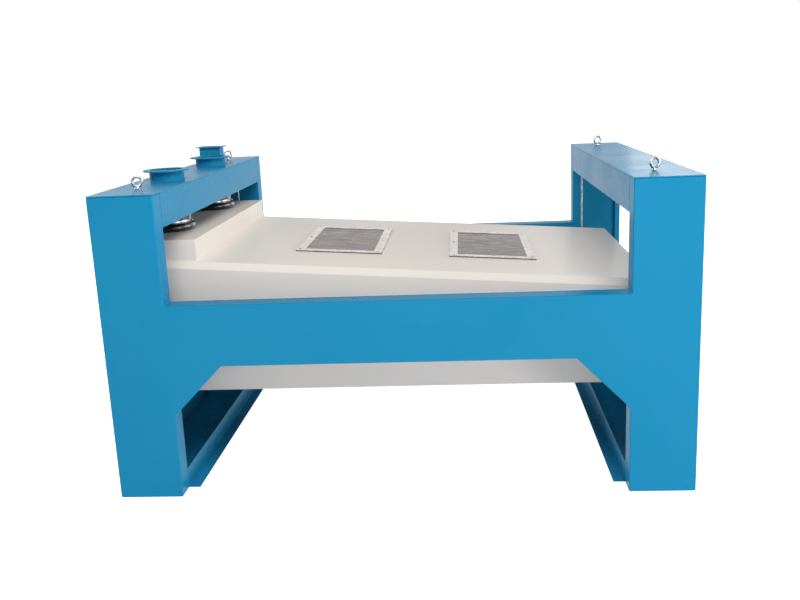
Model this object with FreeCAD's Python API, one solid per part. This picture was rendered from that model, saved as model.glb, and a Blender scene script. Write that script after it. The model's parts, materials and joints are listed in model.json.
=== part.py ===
import FreeCAD, Part
import math
import os

# Rotary grain cleaner: a blue welded stand with two end frames, and a white sieve body
# that hangs in it on four wire ropes and is swung in a small flat circle by an
# unbalanced belt wheel. Two sieve frames draw out at the discharge end.
# Millimetres. +X runs from the feed end to the discharge end, -Y is the front,
# +Z is up, and the origin is on the floor under the middle of the stand.

Vector = FreeCAD.Vector
UP = Vector(0, 0, 1)

# Stand
FRAME_LENGTH = 3000.0
FRAME_WIDTH = 2480.0
FRAME_HEIGHT = 1605.0
FRAME_PLATE = 6.0
COLUMN_WIDTH = 336.0
COLUMN_DEPTH = 120.0
CORNER_RADIUS = 8.0
BEAM_BOTTOM = 717.0
BEAM_HEIGHT = 323.0
GUSSET_SIZE = 265.0
TOP_BAND_HEIGHT = 183.0
BAND_LIP = 25.0
JAMB_WIDTH = 35.0
JAMB_LIP = 30.0
SILL_HEIGHT = 110.0
FOOT_FLANGE = 60.0
DISCHARGE_PANEL_HEIGHT = 560.0
PANEL_RIB_DEPTH = 30.0
PANEL_RIB_SPACING = 740.0

# Sieve body
FEED_END_GAP = 66.0
DISCHARGE_END_GAP = 144.0
SIDE_GAP = 334.0
BODY_DROP = 1127.0
COVER_DROP = 484.0
COVER_SLOPE = 3.92
BODY_PLATE = 5.0
SHOULDER = 36.0
SKIRT_FLANGE = 40.0

# Circular swing
SWING_RADIUS = 7.5
SWING_CLEARANCE = 3.5
SEAT_GAP = 0.3

# Inlet box, feed spouts and sleeves
INLET_LENGTH = 346.0
INLET_DROP = 290.0
INLET_PLATE = 4.0
INLET_SIDE_STEP = 5.0
INLET_MOUTH_MARGIN = 30.0
SPOUT_INSET = 170.0
SPOUT_SIDE_INSET = 770.0
SPOUT_RADIUS = 97.0
SPOUT_WALL = 4.0
SPOUT_RISE = 60.0
SPOUT_DROP = 160.0
SPOUT_FLANGE_RADIUS = 131.0
SPOUT_FLANGE = 8.0
SPOUT_BOLT_CIRCLE = 232.0
SPOUT_BOLTS = 8
FLANGE_HOLE = 12.0
SLEEVE_WALL = 4.0
SLEEVE_LAP = 60.0
SLEEVE_ROLL = 23.0
STUB_HEIGHT = 62.0
CLAMP_WIDTH = 14.0
CLAMP_THICKNESS = 2.5
BAFFLE_THICKNESS = 4.0
BAFFLE_LENGTH = 225.0
BAFFLE_FALL = 118.0
BAFFLE_DROP = 45.0

# Aspiration port
PORT_INSET = 102.0
PORT_SIDE_INSET = 470.0
PORT_LENGTH = 146.0
PORT_WIDTH = 100.0
PORT_WALL = 4.0
PORT_RISE = 110.0
PORT_DROP = 40.0
PORT_FLANGE = 20.0
PORT_FLANGE_THICKNESS = 6.0
PORT_HOLE = 9.0

# Lifting eyebolts
FEED_EYE_INSET = 168.0
DISCHARGE_EYE_INSET = 183.0
EYE_SIDE_INSET = 280.0
EYE_RING = 24.5
EYE_WIRE = 7.0
EYE_CENTRE = 40.0
EYE_COLLAR = 18.0
EYE_COLLAR_HEIGHT = 6.0
EYE_SHANK = 8.0
THREAD_END = 2.0
NECK_FLARE = 2.0
NUT_ACROSS = 24.0
NUT_HEIGHT = 13.0

# Inspection windows
WINDOW_CENTRES = (-370.0, 519.0)
WINDOW_LENGTH = 500.0
WINDOW_WIDTH = 910.0
WINDOW_STRIP = 50.0
WINDOW_STRIP_THICKNESS = 4.0
PANE_THICKNESS = 5.0
WINDOW_LAP = 22.0
SCREW_HEAD = 8.0

# Sieve frames
DECK_DROPS = (105.0, 290.0)
DECK_HEIGHT = 70.0
DECK_RAIL = 30.0
DECK_BAR = 20.0
DECK_START_GAP = 30.0
DECK_SIDE_CLEARANCE = 2.0
SLOT_CLEARANCE = 2.0
SCREEN = 1.5
TRAY_MESH = 1.5
DECK_BAYS = 4
BALL_RADIUS = 20.0
BALLS_PER_BAY = 2
FRONT_PLATE = 6.0
FRONT_LAP = 20.0
HANDLE_WIDTH = 150.0
HANDLE_REACH = 38.0
HANDLE_ROD = 6.0
HANDLE_SPACING = 1000.0
RAIL_LEDGE = 40.0
RAIL_PLATE = 5.0

# Pan, chutes and outlets
PAN_DROP = 440.0
PAN_PLATE = 3.0
CHUTE_LENGTH = 132.0
CHUTE_SPACING = 144.0
CHUTE_GAP = 8.0
CHUTE_PLATE = 3.0
CHUTE_THROAT_RISE = 22.0
OUTLET_DROP = 76.0
OUTLET_WIDTH = 250.0
OUTLET_FLANGE = 20.0
CHUTE_CENTRES = (-380.0, 0.0, 380.0)

# Base frame of the sieve body
FEED_BEAM_INSET = 450.0
DISCHARGE_BEAM_INSET = 650.0
PLATE_LAP = 50.0
CHANNEL_HEIGHT = 80.0
CHANNEL_WIDTH = 40.0
CHANNEL_PLATE = 6.0
LONG_BEAM_SPACING = 340.0

# Drive
DRIVE_PLATE_SIZE = 600.0
DRIVE_PLATE = 12.0
BELT_DROP = 106.0
SHAFT_RADIUS = 30.0
SHAFT_TAIL = 14.0
SHAFT_PLAY = 0.05
SHAFT_HEADROOM = 2.0
HOUSING_RADIUS = 75.0
HOUSING_FLANGE_RADIUS = 140.0
HOUSING_FLANGE = 14.0
HOUSING_DROP = 54.0
HOUSING_RISE = 84.0
HOUSING_CAP = 10.0
BEARING_RADIUS = 55.0
BEARING_WIDTH = 27.0
WHEEL_PITCH_RADIUS = 281.0
PULLEY_PITCH_RADIUS = 77.0
WHEEL_WIDTH = 64.0
RIM_DEPTH = 26.0
WEB = 14.0
HUB_RADIUS = 56.0
WEB_HOLE_RADIUS = 44.0
WEB_HOLE_CIRCLE = 160.0
WEB_HOLE_ANGLES = (0.0, 45.0, 90.0, 135.0, 180.0)
WEIGHT_INNER = 92.0
WEIGHT_OUTER = 240.0
WEIGHT_ANGLE = 100.0
WEIGHT_THICKNESS = 22.0
BELTS = 3
BELT_SPACING = 19.0
BELT_TOP = 17.0
BELT_BOTTOM = 11.0
BELT_ABOVE_PITCH = 3.5
BELT_BELOW_PITCH = 7.5
GROOVE_CLEARANCE = 0.4
PULLEY_DISTANCE = 640.0
MOTOR_PLATE = 10.0
MOTOR_PLATE_RISE = 12.0
MOTOR_BRACKET_LENGTH = 240.0
MOTOR_BRACKET_LEDGE = 36.0
MOTOR_RADIUS = 82.0
MOTOR_FLANGE_RADIUS = 100.0
MOTOR_FLANGE = 12.0
MOTOR_BODY = 168.0
MOTOR_COWL = 62.0
MOTOR_FINS = 20
FIN_HEIGHT = 8.0
FIN_THICKNESS = 4.0
FIN_ROOT = 2.0
MOTOR_SHAFT = 14.0
MOTOR_SHAFT_CLEARANCE = 6.0
TERMINAL_BOX_LAP = 4.0
TERMINAL_BOX = (90.0, 80.0, 44.0)

# Wire ropes
FEED_ROPE_INSET = 212.0
DISCHARGE_ROPE_INSET = 288.0
ROPE_OFFSET = 74.0
ROPE_RADIUS = 6.0
FERRULE_RADIUS = 10.0
FERRULE_LENGTH = 110.0
HANGER_WIDTH = 80.0
HANGER_HEIGHT = 60.0
HANGER_DROP = 55.0
ROPE_DISC_THICKNESS = 10.0
ROPE_NUT = 17.0
ROPE_BRACKET_LIFT = 62.0
ROPE_BRACKET_LENGTH = 120.0
ROPE_BRACKET_REACH = 112.0
ROPE_BRACKET_PLATE = 12.0
ROPE_BRACKET_RISE = 90.0
FERRULE_PLAY = 0.1

# Worked out from the sizes above
HALF_LENGTH = FRAME_LENGTH / 2
HALF_WIDTH = FRAME_WIDTH / 2
INNER_X = HALF_LENGTH - COLUMN_WIDTH
INNER_Y = HALF_WIDTH - COLUMN_DEPTH
CAP_BOTTOM = FRAME_HEIGHT - FRAME_PLATE
BAND_BOTTOM = FRAME_HEIGHT - TOP_BAND_HEIGHT
BEAM_TOP = BEAM_BOTTOM + BEAM_HEIGHT
EYE_XS = {-1: -HALF_LENGTH + FEED_EYE_INSET, 1: HALF_LENGTH - DISCHARGE_EYE_INSET}
EYE_Y = HALF_WIDTH - EYE_SIDE_INSET
BODY_BOTTOM = FRAME_HEIGHT - BODY_DROP
COVER_HEIGHT = FRAME_HEIGHT - COVER_DROP
INLET_TOP = FRAME_HEIGHT - INLET_DROP
FALL = math.tan(math.radians(COVER_SLOPE))
BODY_LEFT = -HALF_LENGTH + FEED_END_GAP
BODY_RIGHT = HALF_LENGTH - DISCHARGE_END_GAP
BODY_SIDE = HALF_WIDTH - SIDE_GAP
BODY_INSIDE = BODY_SIDE - BODY_PLATE
SPOUT_X = -HALF_LENGTH + SPOUT_INSET
SPOUT_YS = (SPOUT_SIDE_INSET - HALF_WIDTH, HALF_WIDTH - SPOUT_SIDE_INSET)
PORT_X = -HALF_LENGTH + PORT_INSET
PORT_Y = HALF_WIDTH - PORT_SIDE_INSET
SLEEVE_INNER = SPOUT_RADIUS + SWING_RADIUS + SWING_CLEARANCE
STUB_RADIUS = SLEEVE_INNER - SEAT_GAP
SPOUT_BOTTOM = CAP_BOTTOM - SPOUT_DROP
SLEEVE_TOP = SPOUT_BOTTOM + SLEEVE_LAP
ROPE_XS = (-HALF_LENGTH + FEED_ROPE_INSET, HALF_LENGTH - DISCHARGE_ROPE_INSET)
ROPE_Y = BODY_SIDE + ROPE_OFFSET
ROPE_BRACKET_HEIGHT = BODY_BOTTOM + ROPE_BRACKET_LIFT
ROPE_HOLE = ROPE_RADIUS + SWING_RADIUS + SWING_CLEARANCE
ROPE_DISC = ROPE_HOLE + SWING_RADIUS + 2 * SWING_CLEARANCE
HANGER_TOP = CAP_BOTTOM - HANGER_DROP
WINDOW_RISE = PANE_THICKNESS + WINDOW_STRIP_THICKNESS
SKIRT_TOP = BODY_BOTTOM + BODY_PLATE
CHANNEL_BOTTOM = SKIRT_TOP
PLATE_BEAM = DRIVE_PLATE_SIZE / 2 - PLATE_LAP
CROSS_BEAMS = (-HALF_LENGTH + FEED_BEAM_INSET, -PLATE_BEAM, PLATE_BEAM, HALF_LENGTH - DISCHARGE_BEAM_INSET)
CHUTE_THROAT = BODY_BOTTOM + CHUTE_THROAT_RISE
OUTLET_BOTTOM = BODY_BOTTOM - OUTLET_DROP
BELT_LEVEL = BODY_BOTTOM - BELT_DROP
HOUSING_BOTTOM = BODY_BOTTOM - HOUSING_DROP
HOUSING_TOP = BODY_BOTTOM + HOUSING_RISE
DRIVE_PLATE_BOTTOM = CHANNEL_BOTTOM - DRIVE_PLATE
PULLEY_X = -PULLEY_DISTANCE
MOTOR_SEAT = BELT_LEVEL + WHEEL_WIDTH / 2 + MOTOR_PLATE_RISE + MOTOR_PLATE


def cover_z(x):
    """Height of the cover's outer face."""
    return COVER_HEIGHT - x * FALL


def block(x0, x1, y0, y1, z0, z1):
    """Box between two corners given in any order."""
    x0, x1 = sorted((x0, x1))
    y0, y1 = sorted((y0, y1))
    z0, z1 = sorted((z0, z1))
    return Part.makeBox(x1 - x0, y1 - y0, z1 - z0, Vector(x0, y0, z0))


def cylinder(radius, x, y, z0, z1):
    return Part.makeCylinder(radius, z1 - z0, Vector(x, y, z0), UP)


def pipe(outer, inner, x, y, z0, z1):
    return cylinder(outer, x, y, z0, z1).cut(cylinder(inner, x, y, z0, z1))


def face_of(corners):
    return Part.Face(Part.makePolygon(corners + corners[:1]))


def along_y(points, y0, y1):
    """Outline in X and Z, drawn out along Y."""
    return face_of([Vector(x, y0, z) for x, z in points]).extrude(Vector(0, y1 - y0, 0))


def along_x(points, x0, x1, fall=0.0):
    """Outline in Y and Z, drawn out along X, falling with the cover where asked."""
    return face_of([Vector(x0, y, z) for y, z in points]).extrude(Vector(x1 - x0, 0, -fall * (x1 - x0)))


def turned(profile, x, y):
    """Outline of radius and height, turned about an upright axis."""
    face = face_of([Vector(x + r, y, z) for r, z in profile])
    return face.revolve(Vector(x, y, 0), UP, 360)


def slab(x0, x1, y0, y1, low, high):
    """Slab parallel to the cover, between two heights measured from the cover's outer face."""
    points = [(x0, cover_z(x0) + low), (x1, cover_z(x1) + low),
              (x1, cover_z(x1) + high), (x0, cover_z(x0) + high)]
    return along_y(points, y0, y1)


def joined(shapes):
    first = shapes[0]
    return first.fuse(shapes[1:]).removeSplitter() if len(shapes) > 1 else first


def cut_all(shape, tools):
    for tool in tools:
        shape = shape.cut(tool)
    return shape


def hexagon(across, x, y, z0, z1):
    corner = across / math.sqrt(3)
    angles = [math.radians(60 * i) for i in range(6)]
    points = [Vector(x + corner * math.cos(a), y + corner * math.sin(a), z0) for a in angles]
    return face_of(points).extrude(Vector(0, 0, z1 - z0))


# Stand

def rounded_corner(shape, sx, sy):
    """Round the upright edge at one outer corner of the stand."""
    edges = [e for e in shape.Edges
             if abs(e.CenterOfMass.x - sx * HALF_LENGTH) < 0.01
             and abs(e.CenterOfMass.y - sy * HALF_WIDTH) < 0.01
             and abs(e.BoundBox.XLength) < 0.01 and abs(e.BoundBox.YLength) < 0.01]
    return shape.makeFillet(CORNER_RADIUS, edges)


def column(sx, sy):
    outer = block(sx * INNER_X, sx * HALF_LENGTH, sy * INNER_Y, sy * HALF_WIDTH, 0, CAP_BOTTOM)
    inner = block(sx * (INNER_X + FRAME_PLATE), sx * (HALF_LENGTH - FRAME_PLATE),
                  sy * (INNER_Y + FRAME_PLATE), sy * (HALF_WIDTH - FRAME_PLATE), FRAME_PLATE, CAP_BOTTOM)
    return rounded_corner(outer, sx, sy).cut(inner)


def side_beam(sy):
    outer = block(-INNER_X, INNER_X, sy * INNER_Y, sy * HALF_WIDTH, BEAM_BOTTOM, BEAM_TOP)
    inner = block(-INNER_X, INNER_X, sy * (INNER_Y + FRAME_PLATE), sy * (HALF_WIDTH - FRAME_PLATE),
                  BEAM_BOTTOM + FRAME_PLATE, BEAM_TOP - FRAME_PLATE)
    return outer.cut(inner)


def gusset(sx, sy):
    """Three-cornered box under the beam, with a sloping underside."""
    slant = FRAME_PLATE * math.sqrt(2)
    corner = sx * INNER_X
    outer = [(corner, BEAM_BOTTOM - GUSSET_SIZE), (corner - sx * GUSSET_SIZE, BEAM_BOTTOM),
             (corner, BEAM_BOTTOM)]
    inner = [(corner, BEAM_BOTTOM - GUSSET_SIZE + slant), (corner - sx * (GUSSET_SIZE - slant), BEAM_BOTTOM),
             (corner, BEAM_BOTTOM)]
    shell = along_y(outer, sy * INNER_Y, sy * HALF_WIDTH)
    return shell.cut(along_y(inner, sy * (INNER_Y + FRAME_PLATE), sy * (HALF_WIDTH - FRAME_PLATE)))


def top_plate(sx):
    """Cover plate of one end frame, with the holes of what passes through it."""
    plate = block(sx * INNER_X, sx * HALF_LENGTH, -HALF_WIDTH, HALF_WIDTH, CAP_BOTTOM, FRAME_HEIGHT)
    for sy in (-1, 1):
        plate = rounded_corner(plate, sx, sy)
    holes = [cylinder(EYE_SHANK, EYE_XS[sx], sy * EYE_Y, CAP_BOTTOM, FRAME_HEIGHT) for sy in (-1, 1)]
    if sx < 0:
        holes += [cylinder(SPOUT_RADIUS, SPOUT_X, y, CAP_BOTTOM, FRAME_HEIGHT) for y in SPOUT_YS]
        holes.append(block(PORT_X - PORT_LENGTH / 2, PORT_X + PORT_LENGTH / 2, PORT_Y - PORT_WIDTH / 2,
                           PORT_Y + PORT_WIDTH / 2, CAP_BOTTOM, FRAME_HEIGHT))
    return cut_all(plate, holes)


def band(face_x, inward):
    """Band under the top plate: a plate with a turned-in lip along its lower edge."""
    back = face_x + inward * FRAME_PLATE
    tip = back + inward * BAND_LIP
    points = [(face_x, BAND_BOTTOM), (tip, BAND_BOTTOM), (tip, BAND_BOTTOM + FRAME_PLATE),
              (back, BAND_BOTTOM + FRAME_PLATE), (back, CAP_BOTTOM), (face_x, CAP_BOTTOM)]
    return along_y(points, -INNER_Y, INNER_Y)


def discharge_outer_band():
    """Band above the opening that the sieve frames draw out through, with a folded jamb on each side."""
    inside = HALF_LENGTH - FRAME_PLATE
    edge = INNER_Y - JAMB_WIDTH
    low = DISCHARGE_PANEL_HEIGHT
    high = BAND_BOTTOM + FRAME_PLATE
    pieces = [band(HALF_LENGTH, -1)]
    for sy in (-1, 1):
        pieces.append(block(inside, HALF_LENGTH, sy * edge, sy * INNER_Y, low, high))
        pieces.append(block(inside - JAMB_LIP, inside, sy * edge, sy * (edge + FRAME_PLATE), low, high))
    return joined(pieces)


def feed_end_panel():
    """Closed end wall with two upright stiffening ribs inside."""
    inside = -HALF_LENGTH + FRAME_PLATE
    wall = block(-HALF_LENGTH, inside, -INNER_Y, INNER_Y, 0, CAP_BOTTOM)
    ribs = [block(inside, inside + PANEL_RIB_DEPTH, y - FRAME_PLATE / 2, y + FRAME_PLATE / 2,
                  FRAME_PLATE, CAP_BOTTOM) for y in (-PANEL_RIB_SPACING / 2, PANEL_RIB_SPACING / 2)]
    return joined([wall] + ribs)


def discharge_end_panel():
    """Low end wall with a turned-in top edge, open above it so that the sieve frames draw out."""
    inside = HALF_LENGTH - FRAME_PLATE
    tip = inside - BAND_LIP
    points = [(HALF_LENGTH, 0), (HALF_LENGTH, DISCHARGE_PANEL_HEIGHT), (tip, DISCHARGE_PANEL_HEIGHT),
              (tip, DISCHARGE_PANEL_HEIGHT - FRAME_PLATE), (inside, DISCHARGE_PANEL_HEIGHT - FRAME_PLATE),
              (inside, 0)]
    return along_y(points, -INNER_Y, INNER_Y)


def base_sill(sx):
    """Bottom plate of one end frame with its upright sill and the foot flange outside it."""
    face = INNER_X
    points = [(HALF_LENGTH - FRAME_PLATE, 0), (face - FOOT_FLANGE, 0), (face - FOOT_FLANGE, FRAME_PLATE),
              (face, FRAME_PLATE), (face, SILL_HEIGHT), (face + FRAME_PLATE, SILL_HEIGHT),
              (face + FRAME_PLATE, FRAME_PLATE), (HALF_LENGTH - FRAME_PLATE, FRAME_PLATE)]
    return along_y([(sx * x, z) for x, z in points], -INNER_Y, INNER_Y)


def hanger_bars():
    """Four bars across the end frames, each with the wide hole that its rope swings in."""
    bars = []
    for x in ROPE_XS:
        sx = 1 if x > 0 else -1
        for sy in (-1, 1):
            y = sy * ROPE_Y
            bar = block(sx * (INNER_X + FRAME_PLATE), sx * (HALF_LENGTH - FRAME_PLATE),
                        y - HANGER_WIDTH / 2, y + HANGER_WIDTH / 2, HANGER_TOP - HANGER_HEIGHT, HANGER_TOP)
            hole = cylinder(ROPE_HOLE, x, y, HANGER_TOP - HANGER_HEIGHT, HANGER_TOP)
            bars.append(bar.cut(hole))
    return Part.makeCompound(bars)


def feed_spout(y):
    """Round spout with a bolted flange, welded through the top plate."""
    top = FRAME_HEIGHT + SPOUT_RISE
    inner = SPOUT_RADIUS - SPOUT_WALL
    profile = [(inner, SPOUT_BOTTOM), (SPOUT_RADIUS, SPOUT_BOTTOM), (SPOUT_RADIUS, top - SPOUT_FLANGE),
               (SPOUT_FLANGE_RADIUS, top - SPOUT_FLANGE), (SPOUT_FLANGE_RADIUS, top), (inner, top)]
    angles = [2 * math.pi * (i + 0.5) / SPOUT_BOLTS for i in range(SPOUT_BOLTS)]
    circle = SPOUT_BOLT_CIRCLE / 2
    holes = [cylinder(FLANGE_HOLE / 2, SPOUT_X + circle * math.cos(a), y + circle * math.sin(a),
                      top - SPOUT_FLANGE, top) for a in angles]
    return cut_all(turned(profile, SPOUT_X, y), holes)


def feed_spouts():
    return Part.makeCompound([feed_spout(y) for y in SPOUT_YS])


def aspiration_port():
    """Rectangular flanged port that draws dust out of the feed end frame."""
    top = FRAME_HEIGHT + PORT_RISE

    def around(grow, z0, z1):
        return block(PORT_X - PORT_LENGTH / 2 - grow, PORT_X + PORT_LENGTH / 2 + grow,
                     PORT_Y - PORT_WIDTH / 2 - grow, PORT_Y + PORT_WIDTH / 2 + grow, z0, z1)

    bottom = CAP_BOTTOM - PORT_DROP
    body = joined([around(0, bottom, top), around(PORT_FLANGE, top - PORT_FLANGE_THICKNESS, top)])
    holes = [around(-PORT_WALL, bottom, top)]
    reach = PORT_FLANGE / 2
    for sx in (-1, 1):
        for sy in (-1, 1):
            holes.append(cylinder(PORT_HOLE / 2, PORT_X + sx * (PORT_LENGTH / 2 + reach),
                                  PORT_Y + sy * (PORT_WIDTH / 2 + reach), top - PORT_FLANGE_THICKNESS, top))
    return cut_all(body, holes)


def eyebolt(x, y):
    """Ring, collar and shank of one lifting eyebolt, standing on the top plate."""
    ring = Part.makeTorus(EYE_RING, EYE_WIRE, Vector(x, y, FRAME_HEIGHT + EYE_CENTRE), Vector(0, 1, 0))
    neck_top = FRAME_HEIGHT + EYE_CENTRE - EYE_RING
    shank_end = CAP_BOTTOM - NUT_HEIGHT - THREAD_END
    neck = turned([(0, shank_end), (EYE_SHANK, shank_end),
                   (EYE_SHANK, FRAME_HEIGHT), (EYE_COLLAR, FRAME_HEIGHT),
                   (EYE_COLLAR, FRAME_HEIGHT + EYE_COLLAR_HEIGHT),
                   (EYE_SHANK + NECK_FLARE, neck_top), (0, neck_top)], x, y)
    nut = hexagon(NUT_ACROSS, x, y, CAP_BOTTOM - NUT_HEIGHT, CAP_BOTTOM)
    return [joined([ring, neck]), nut.cut(cylinder(EYE_SHANK, x, y, CAP_BOTTOM - NUT_HEIGHT, CAP_BOTTOM))]


def lifting_eyebolts():
    solids = []
    for sx in (-1, 1):
        for sy in (-1, 1):
            solids += eyebolt(EYE_XS[sx], sy * EYE_Y)
    return Part.makeCompound(solids)


# Sieve body

def deck_bottom(drop):
    """Underside of a sieve frame, measured from the cover's outer face."""
    return -drop - DECK_HEIGHT


def side_wall(sy):
    """Side plate with a turned-in skirt and the ledges that carry the sieve frames."""
    points = [(BODY_LEFT, BODY_BOTTOM), (BODY_RIGHT, BODY_BOTTOM),
              (BODY_RIGHT, cover_z(BODY_RIGHT) - SHOULDER), (BODY_LEFT, cover_z(BODY_LEFT) - SHOULDER)]
    pieces = [along_y(points, sy * BODY_SIDE, sy * BODY_INSIDE)]
    inside = sy * BODY_INSIDE
    pieces.append(block(BODY_LEFT, BODY_RIGHT, inside, inside - sy * SKIRT_FLANGE, BODY_BOTTOM, SKIRT_TOP))
    left = BODY_LEFT + BODY_PLATE
    right = BODY_RIGHT - BODY_PLATE
    for drop in DECK_DROPS:
        top = deck_bottom(drop) - SEAT_GAP
        pieces.append(slab(left, right, inside, inside - sy * RAIL_LEDGE, top - RAIL_PLATE, top))
        pieces.append(slab(left, right, inside, inside - sy * RAIL_PLATE, top - RAIL_LEDGE, top))
    return joined(pieces)


def end_section(x, top_drop):
    """Outline of the inside of the body in Y and Z at one end, up to the underside of the cover."""
    top = cover_z(x) - top_drop
    slant = BODY_PLATE * math.sqrt(2)
    knee = BODY_SIDE - slant - SHOULDER + BODY_PLATE
    right = [(BODY_INSIDE, SKIRT_TOP), (BODY_INSIDE, top - SHOULDER), (BODY_SIDE - slant, top - SHOULDER),
             (knee, top - BODY_PLATE)]
    return right + [(-y, z) for y, z in reversed(right)]


def feed_end_wall():
    x1 = BODY_LEFT + BODY_PLATE
    return along_x(end_section(x1, 0), BODY_LEFT, x1)


def slot_bounds(drop):
    """Side reach, lower and upper height of the slot that one sieve frame slides through."""
    floor = cover_z(BODY_RIGHT) + deck_bottom(drop) - SLOT_CLEARANCE
    return BODY_INSIDE - DECK_SIDE_CLEARANCE / 2, floor, floor + DECK_HEIGHT + SCREEN + 2 * SLOT_CLEARANCE


def discharge_end_wall():
    """End wall with a slot for each sieve frame."""
    x0 = BODY_RIGHT - BODY_PLATE
    wall = along_x(end_section(BODY_RIGHT, 0), x0, BODY_RIGHT)
    for drop in DECK_DROPS:
        reach, low, high = slot_bounds(drop)
        wall = wall.cut(block(x0, BODY_RIGHT, -reach, reach, low, high))
    return wall


def top_cover():
    """Folded cover with sloping shoulders, the inlet mouth and the window openings."""
    slant = BODY_PLATE * math.sqrt(2)
    start = cover_z(BODY_LEFT)
    right = [(BODY_SIDE, start - SHOULDER), (BODY_SIDE - SHOULDER, start)]
    inner = [(BODY_SIDE - slant, start - SHOULDER),
             (BODY_SIDE - slant - SHOULDER + BODY_PLATE, start - BODY_PLATE)]
    points = right + [(-y, z) for y, z in reversed(right)]
    points += [(-y, z) for y, z in inner] + [(y, z) for y, z in reversed(inner)]
    cover = along_x(points, BODY_LEFT, BODY_RIGHT, FALL)
    mouth = INLET_MOUTH_MARGIN
    reach = BODY_SIDE - SHOULDER - mouth
    holes = [slab(BODY_LEFT + mouth, BODY_LEFT + INLET_LENGTH - mouth, -reach, reach, -SHOULDER, SHOULDER)]
    margin = WINDOW_STRIP + WINDOW_LAP / 2
    for centre in WINDOW_CENTRES:
        half = WINDOW_LENGTH / 2 - margin
        wide = WINDOW_WIDTH / 2 - margin
        holes.append(slab(centre - half, centre + half, -wide, wide, -SHOULDER, SHOULDER))
    return cut_all(cover, holes)


def inlet_box():
    """Raised box over the feed end, open below, with the two stubs that the sleeves fit on."""
    x0, x1 = BODY_LEFT, BODY_LEFT + INLET_LENGTH
    wide = BODY_SIDE - SHOULDER - INLET_SIDE_STEP
    outer = along_y([(x0, cover_z(x0)), (x1, cover_z(x1)), (x1, INLET_TOP), (x0, INLET_TOP)], -wide, wide)
    t = INLET_PLATE
    stubs = [cylinder(STUB_RADIUS, SPOUT_X, y, INLET_TOP, INLET_TOP + STUB_HEIGHT) for y in SPOUT_YS]
    holes = [cylinder(STUB_RADIUS - t, SPOUT_X, y, cover_z(x1), INLET_TOP + STUB_HEIGHT)
             for y in SPOUT_YS]
    low = cover_z(x1) - SHOULDER
    inner = along_y([(x0 + t, low), (x1 - t, low), (x1 - t, INLET_TOP - t), (x0 + t, INLET_TOP - t)],
                    -wide + t, wide - t)
    return cut_all(joined([outer] + stubs), [inner] + holes)


def feed_baffle():
    """Sloping plate under the stubs that spreads the grain over the width of the upper sieve."""
    x0 = BODY_LEFT + INLET_PLATE
    x1 = x0 + BAFFLE_LENGTH
    top = INLET_TOP - INLET_PLATE - BAFFLE_DROP
    wide = BODY_SIDE - SHOULDER - INLET_MOUTH_MARGIN
    points = [(x0, top), (x1, top - BAFFLE_FALL), (x1, top - BAFFLE_FALL - BAFFLE_THICKNESS),
              (x0, top - BAFFLE_THICKNESS)]
    return along_y(points, -wide, wide)


def window_span(centre):
    return centre - WINDOW_LENGTH / 2, centre + WINDOW_LENGTH / 2


def window_frames():
    """Flat strips round each inspection window, on top of the clear plate."""
    frames = []
    for centre in WINDOW_CENTRES:
        x0, x1 = window_span(centre)
        wide = WINDOW_WIDTH / 2
        outer = slab(x0, x1, -wide, wide, PANE_THICKNESS, WINDOW_RISE)
        inner = slab(x0 + WINDOW_STRIP, x1 - WINDOW_STRIP, -wide + WINDOW_STRIP, wide - WINDOW_STRIP,
                     0, WINDOW_RISE + PANE_THICKNESS)
        frames.append(outer.cut(inner))
    return Part.makeCompound(frames)


def window_panes():
    panes = []
    for centre in WINDOW_CENTRES:
        x0, x1 = window_span(centre)
        panes.append(slab(x0, x1, -WINDOW_WIDTH / 2, WINDOW_WIDTH / 2, 0, PANE_THICKNESS))
    return Part.makeCompound(panes)


def window_screws():
    """Eight dome-headed screws round each window, square to the sloping cover."""
    screws = []
    inset = WINDOW_STRIP / 2
    for centre in WINDOW_CENTRES:
        half = WINDOW_LENGTH / 2 - inset
        wide = WINDOW_WIDTH / 2 - inset
        for i in (-1, 0, 1):
            for j in (-1, 0, 1):
                if i or j:
                    ball = Part.makeSphere(SCREW_HEAD, Vector(0, 0, -SCREW_HEAD * 0.4))
                    head = ball.common(block(-SCREW_HEAD, SCREW_HEAD, -SCREW_HEAD, SCREW_HEAD, 0, SCREW_HEAD))
                    head.rotate(Vector(0, 0, 0), Vector(0, 1, 0), COVER_SLOPE)
                    x = centre + i * half
                    head.translate(Vector(x, j * wide, cover_z(x) + WINDOW_RISE))
                    screws.append(head)
    return Part.makeCompound(screws)


def deck_start():
    return BODY_LEFT + BODY_PLATE + DECK_START_GAP


def chute_left(index):
    """Feed side of one of the three discharge chutes, counted from the feed end."""
    end = BODY_RIGHT - BODY_PLATE - CHUTE_GAP
    return end - CHUTE_LENGTH - (2 - index) * CHUTE_SPACING


def sieve_frame(drop, index):
    """Wooden drawer with side rails, a middle rail, cross bars and a ball tray."""
    x0 = deck_start()
    x1 = BODY_RIGHT + SEAT_GAP
    screen_end = chute_left(index) - DECK_BAR
    low, high = deck_bottom(drop), -drop
    wide = BODY_INSIDE - DECK_SIDE_CLEARANCE
    pieces = [slab(x0, x1, sy * wide, sy * (wide - DECK_RAIL), low, high) for sy in (-1, 1)]
    pieces.append(slab(x0, x1, -DECK_RAIL / 2, DECK_RAIL / 2, low, high))
    pitch = (screen_end - x0) / DECK_BAYS
    bars = [x0 + i * pitch for i in range(DECK_BAYS + 1)]
    if index == 1:
        bars.append(chute_left(2) - DECK_BAR)
    bars.append(x1 - DECK_BAR)
    pieces += [slab(x, x + DECK_BAR, -wide, wide, low, high) for x in bars]
    pieces.append(slab(x0, screen_end + DECK_BAR, -wide, wide, low, low + TRAY_MESH))
    return joined(pieces)


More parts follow.
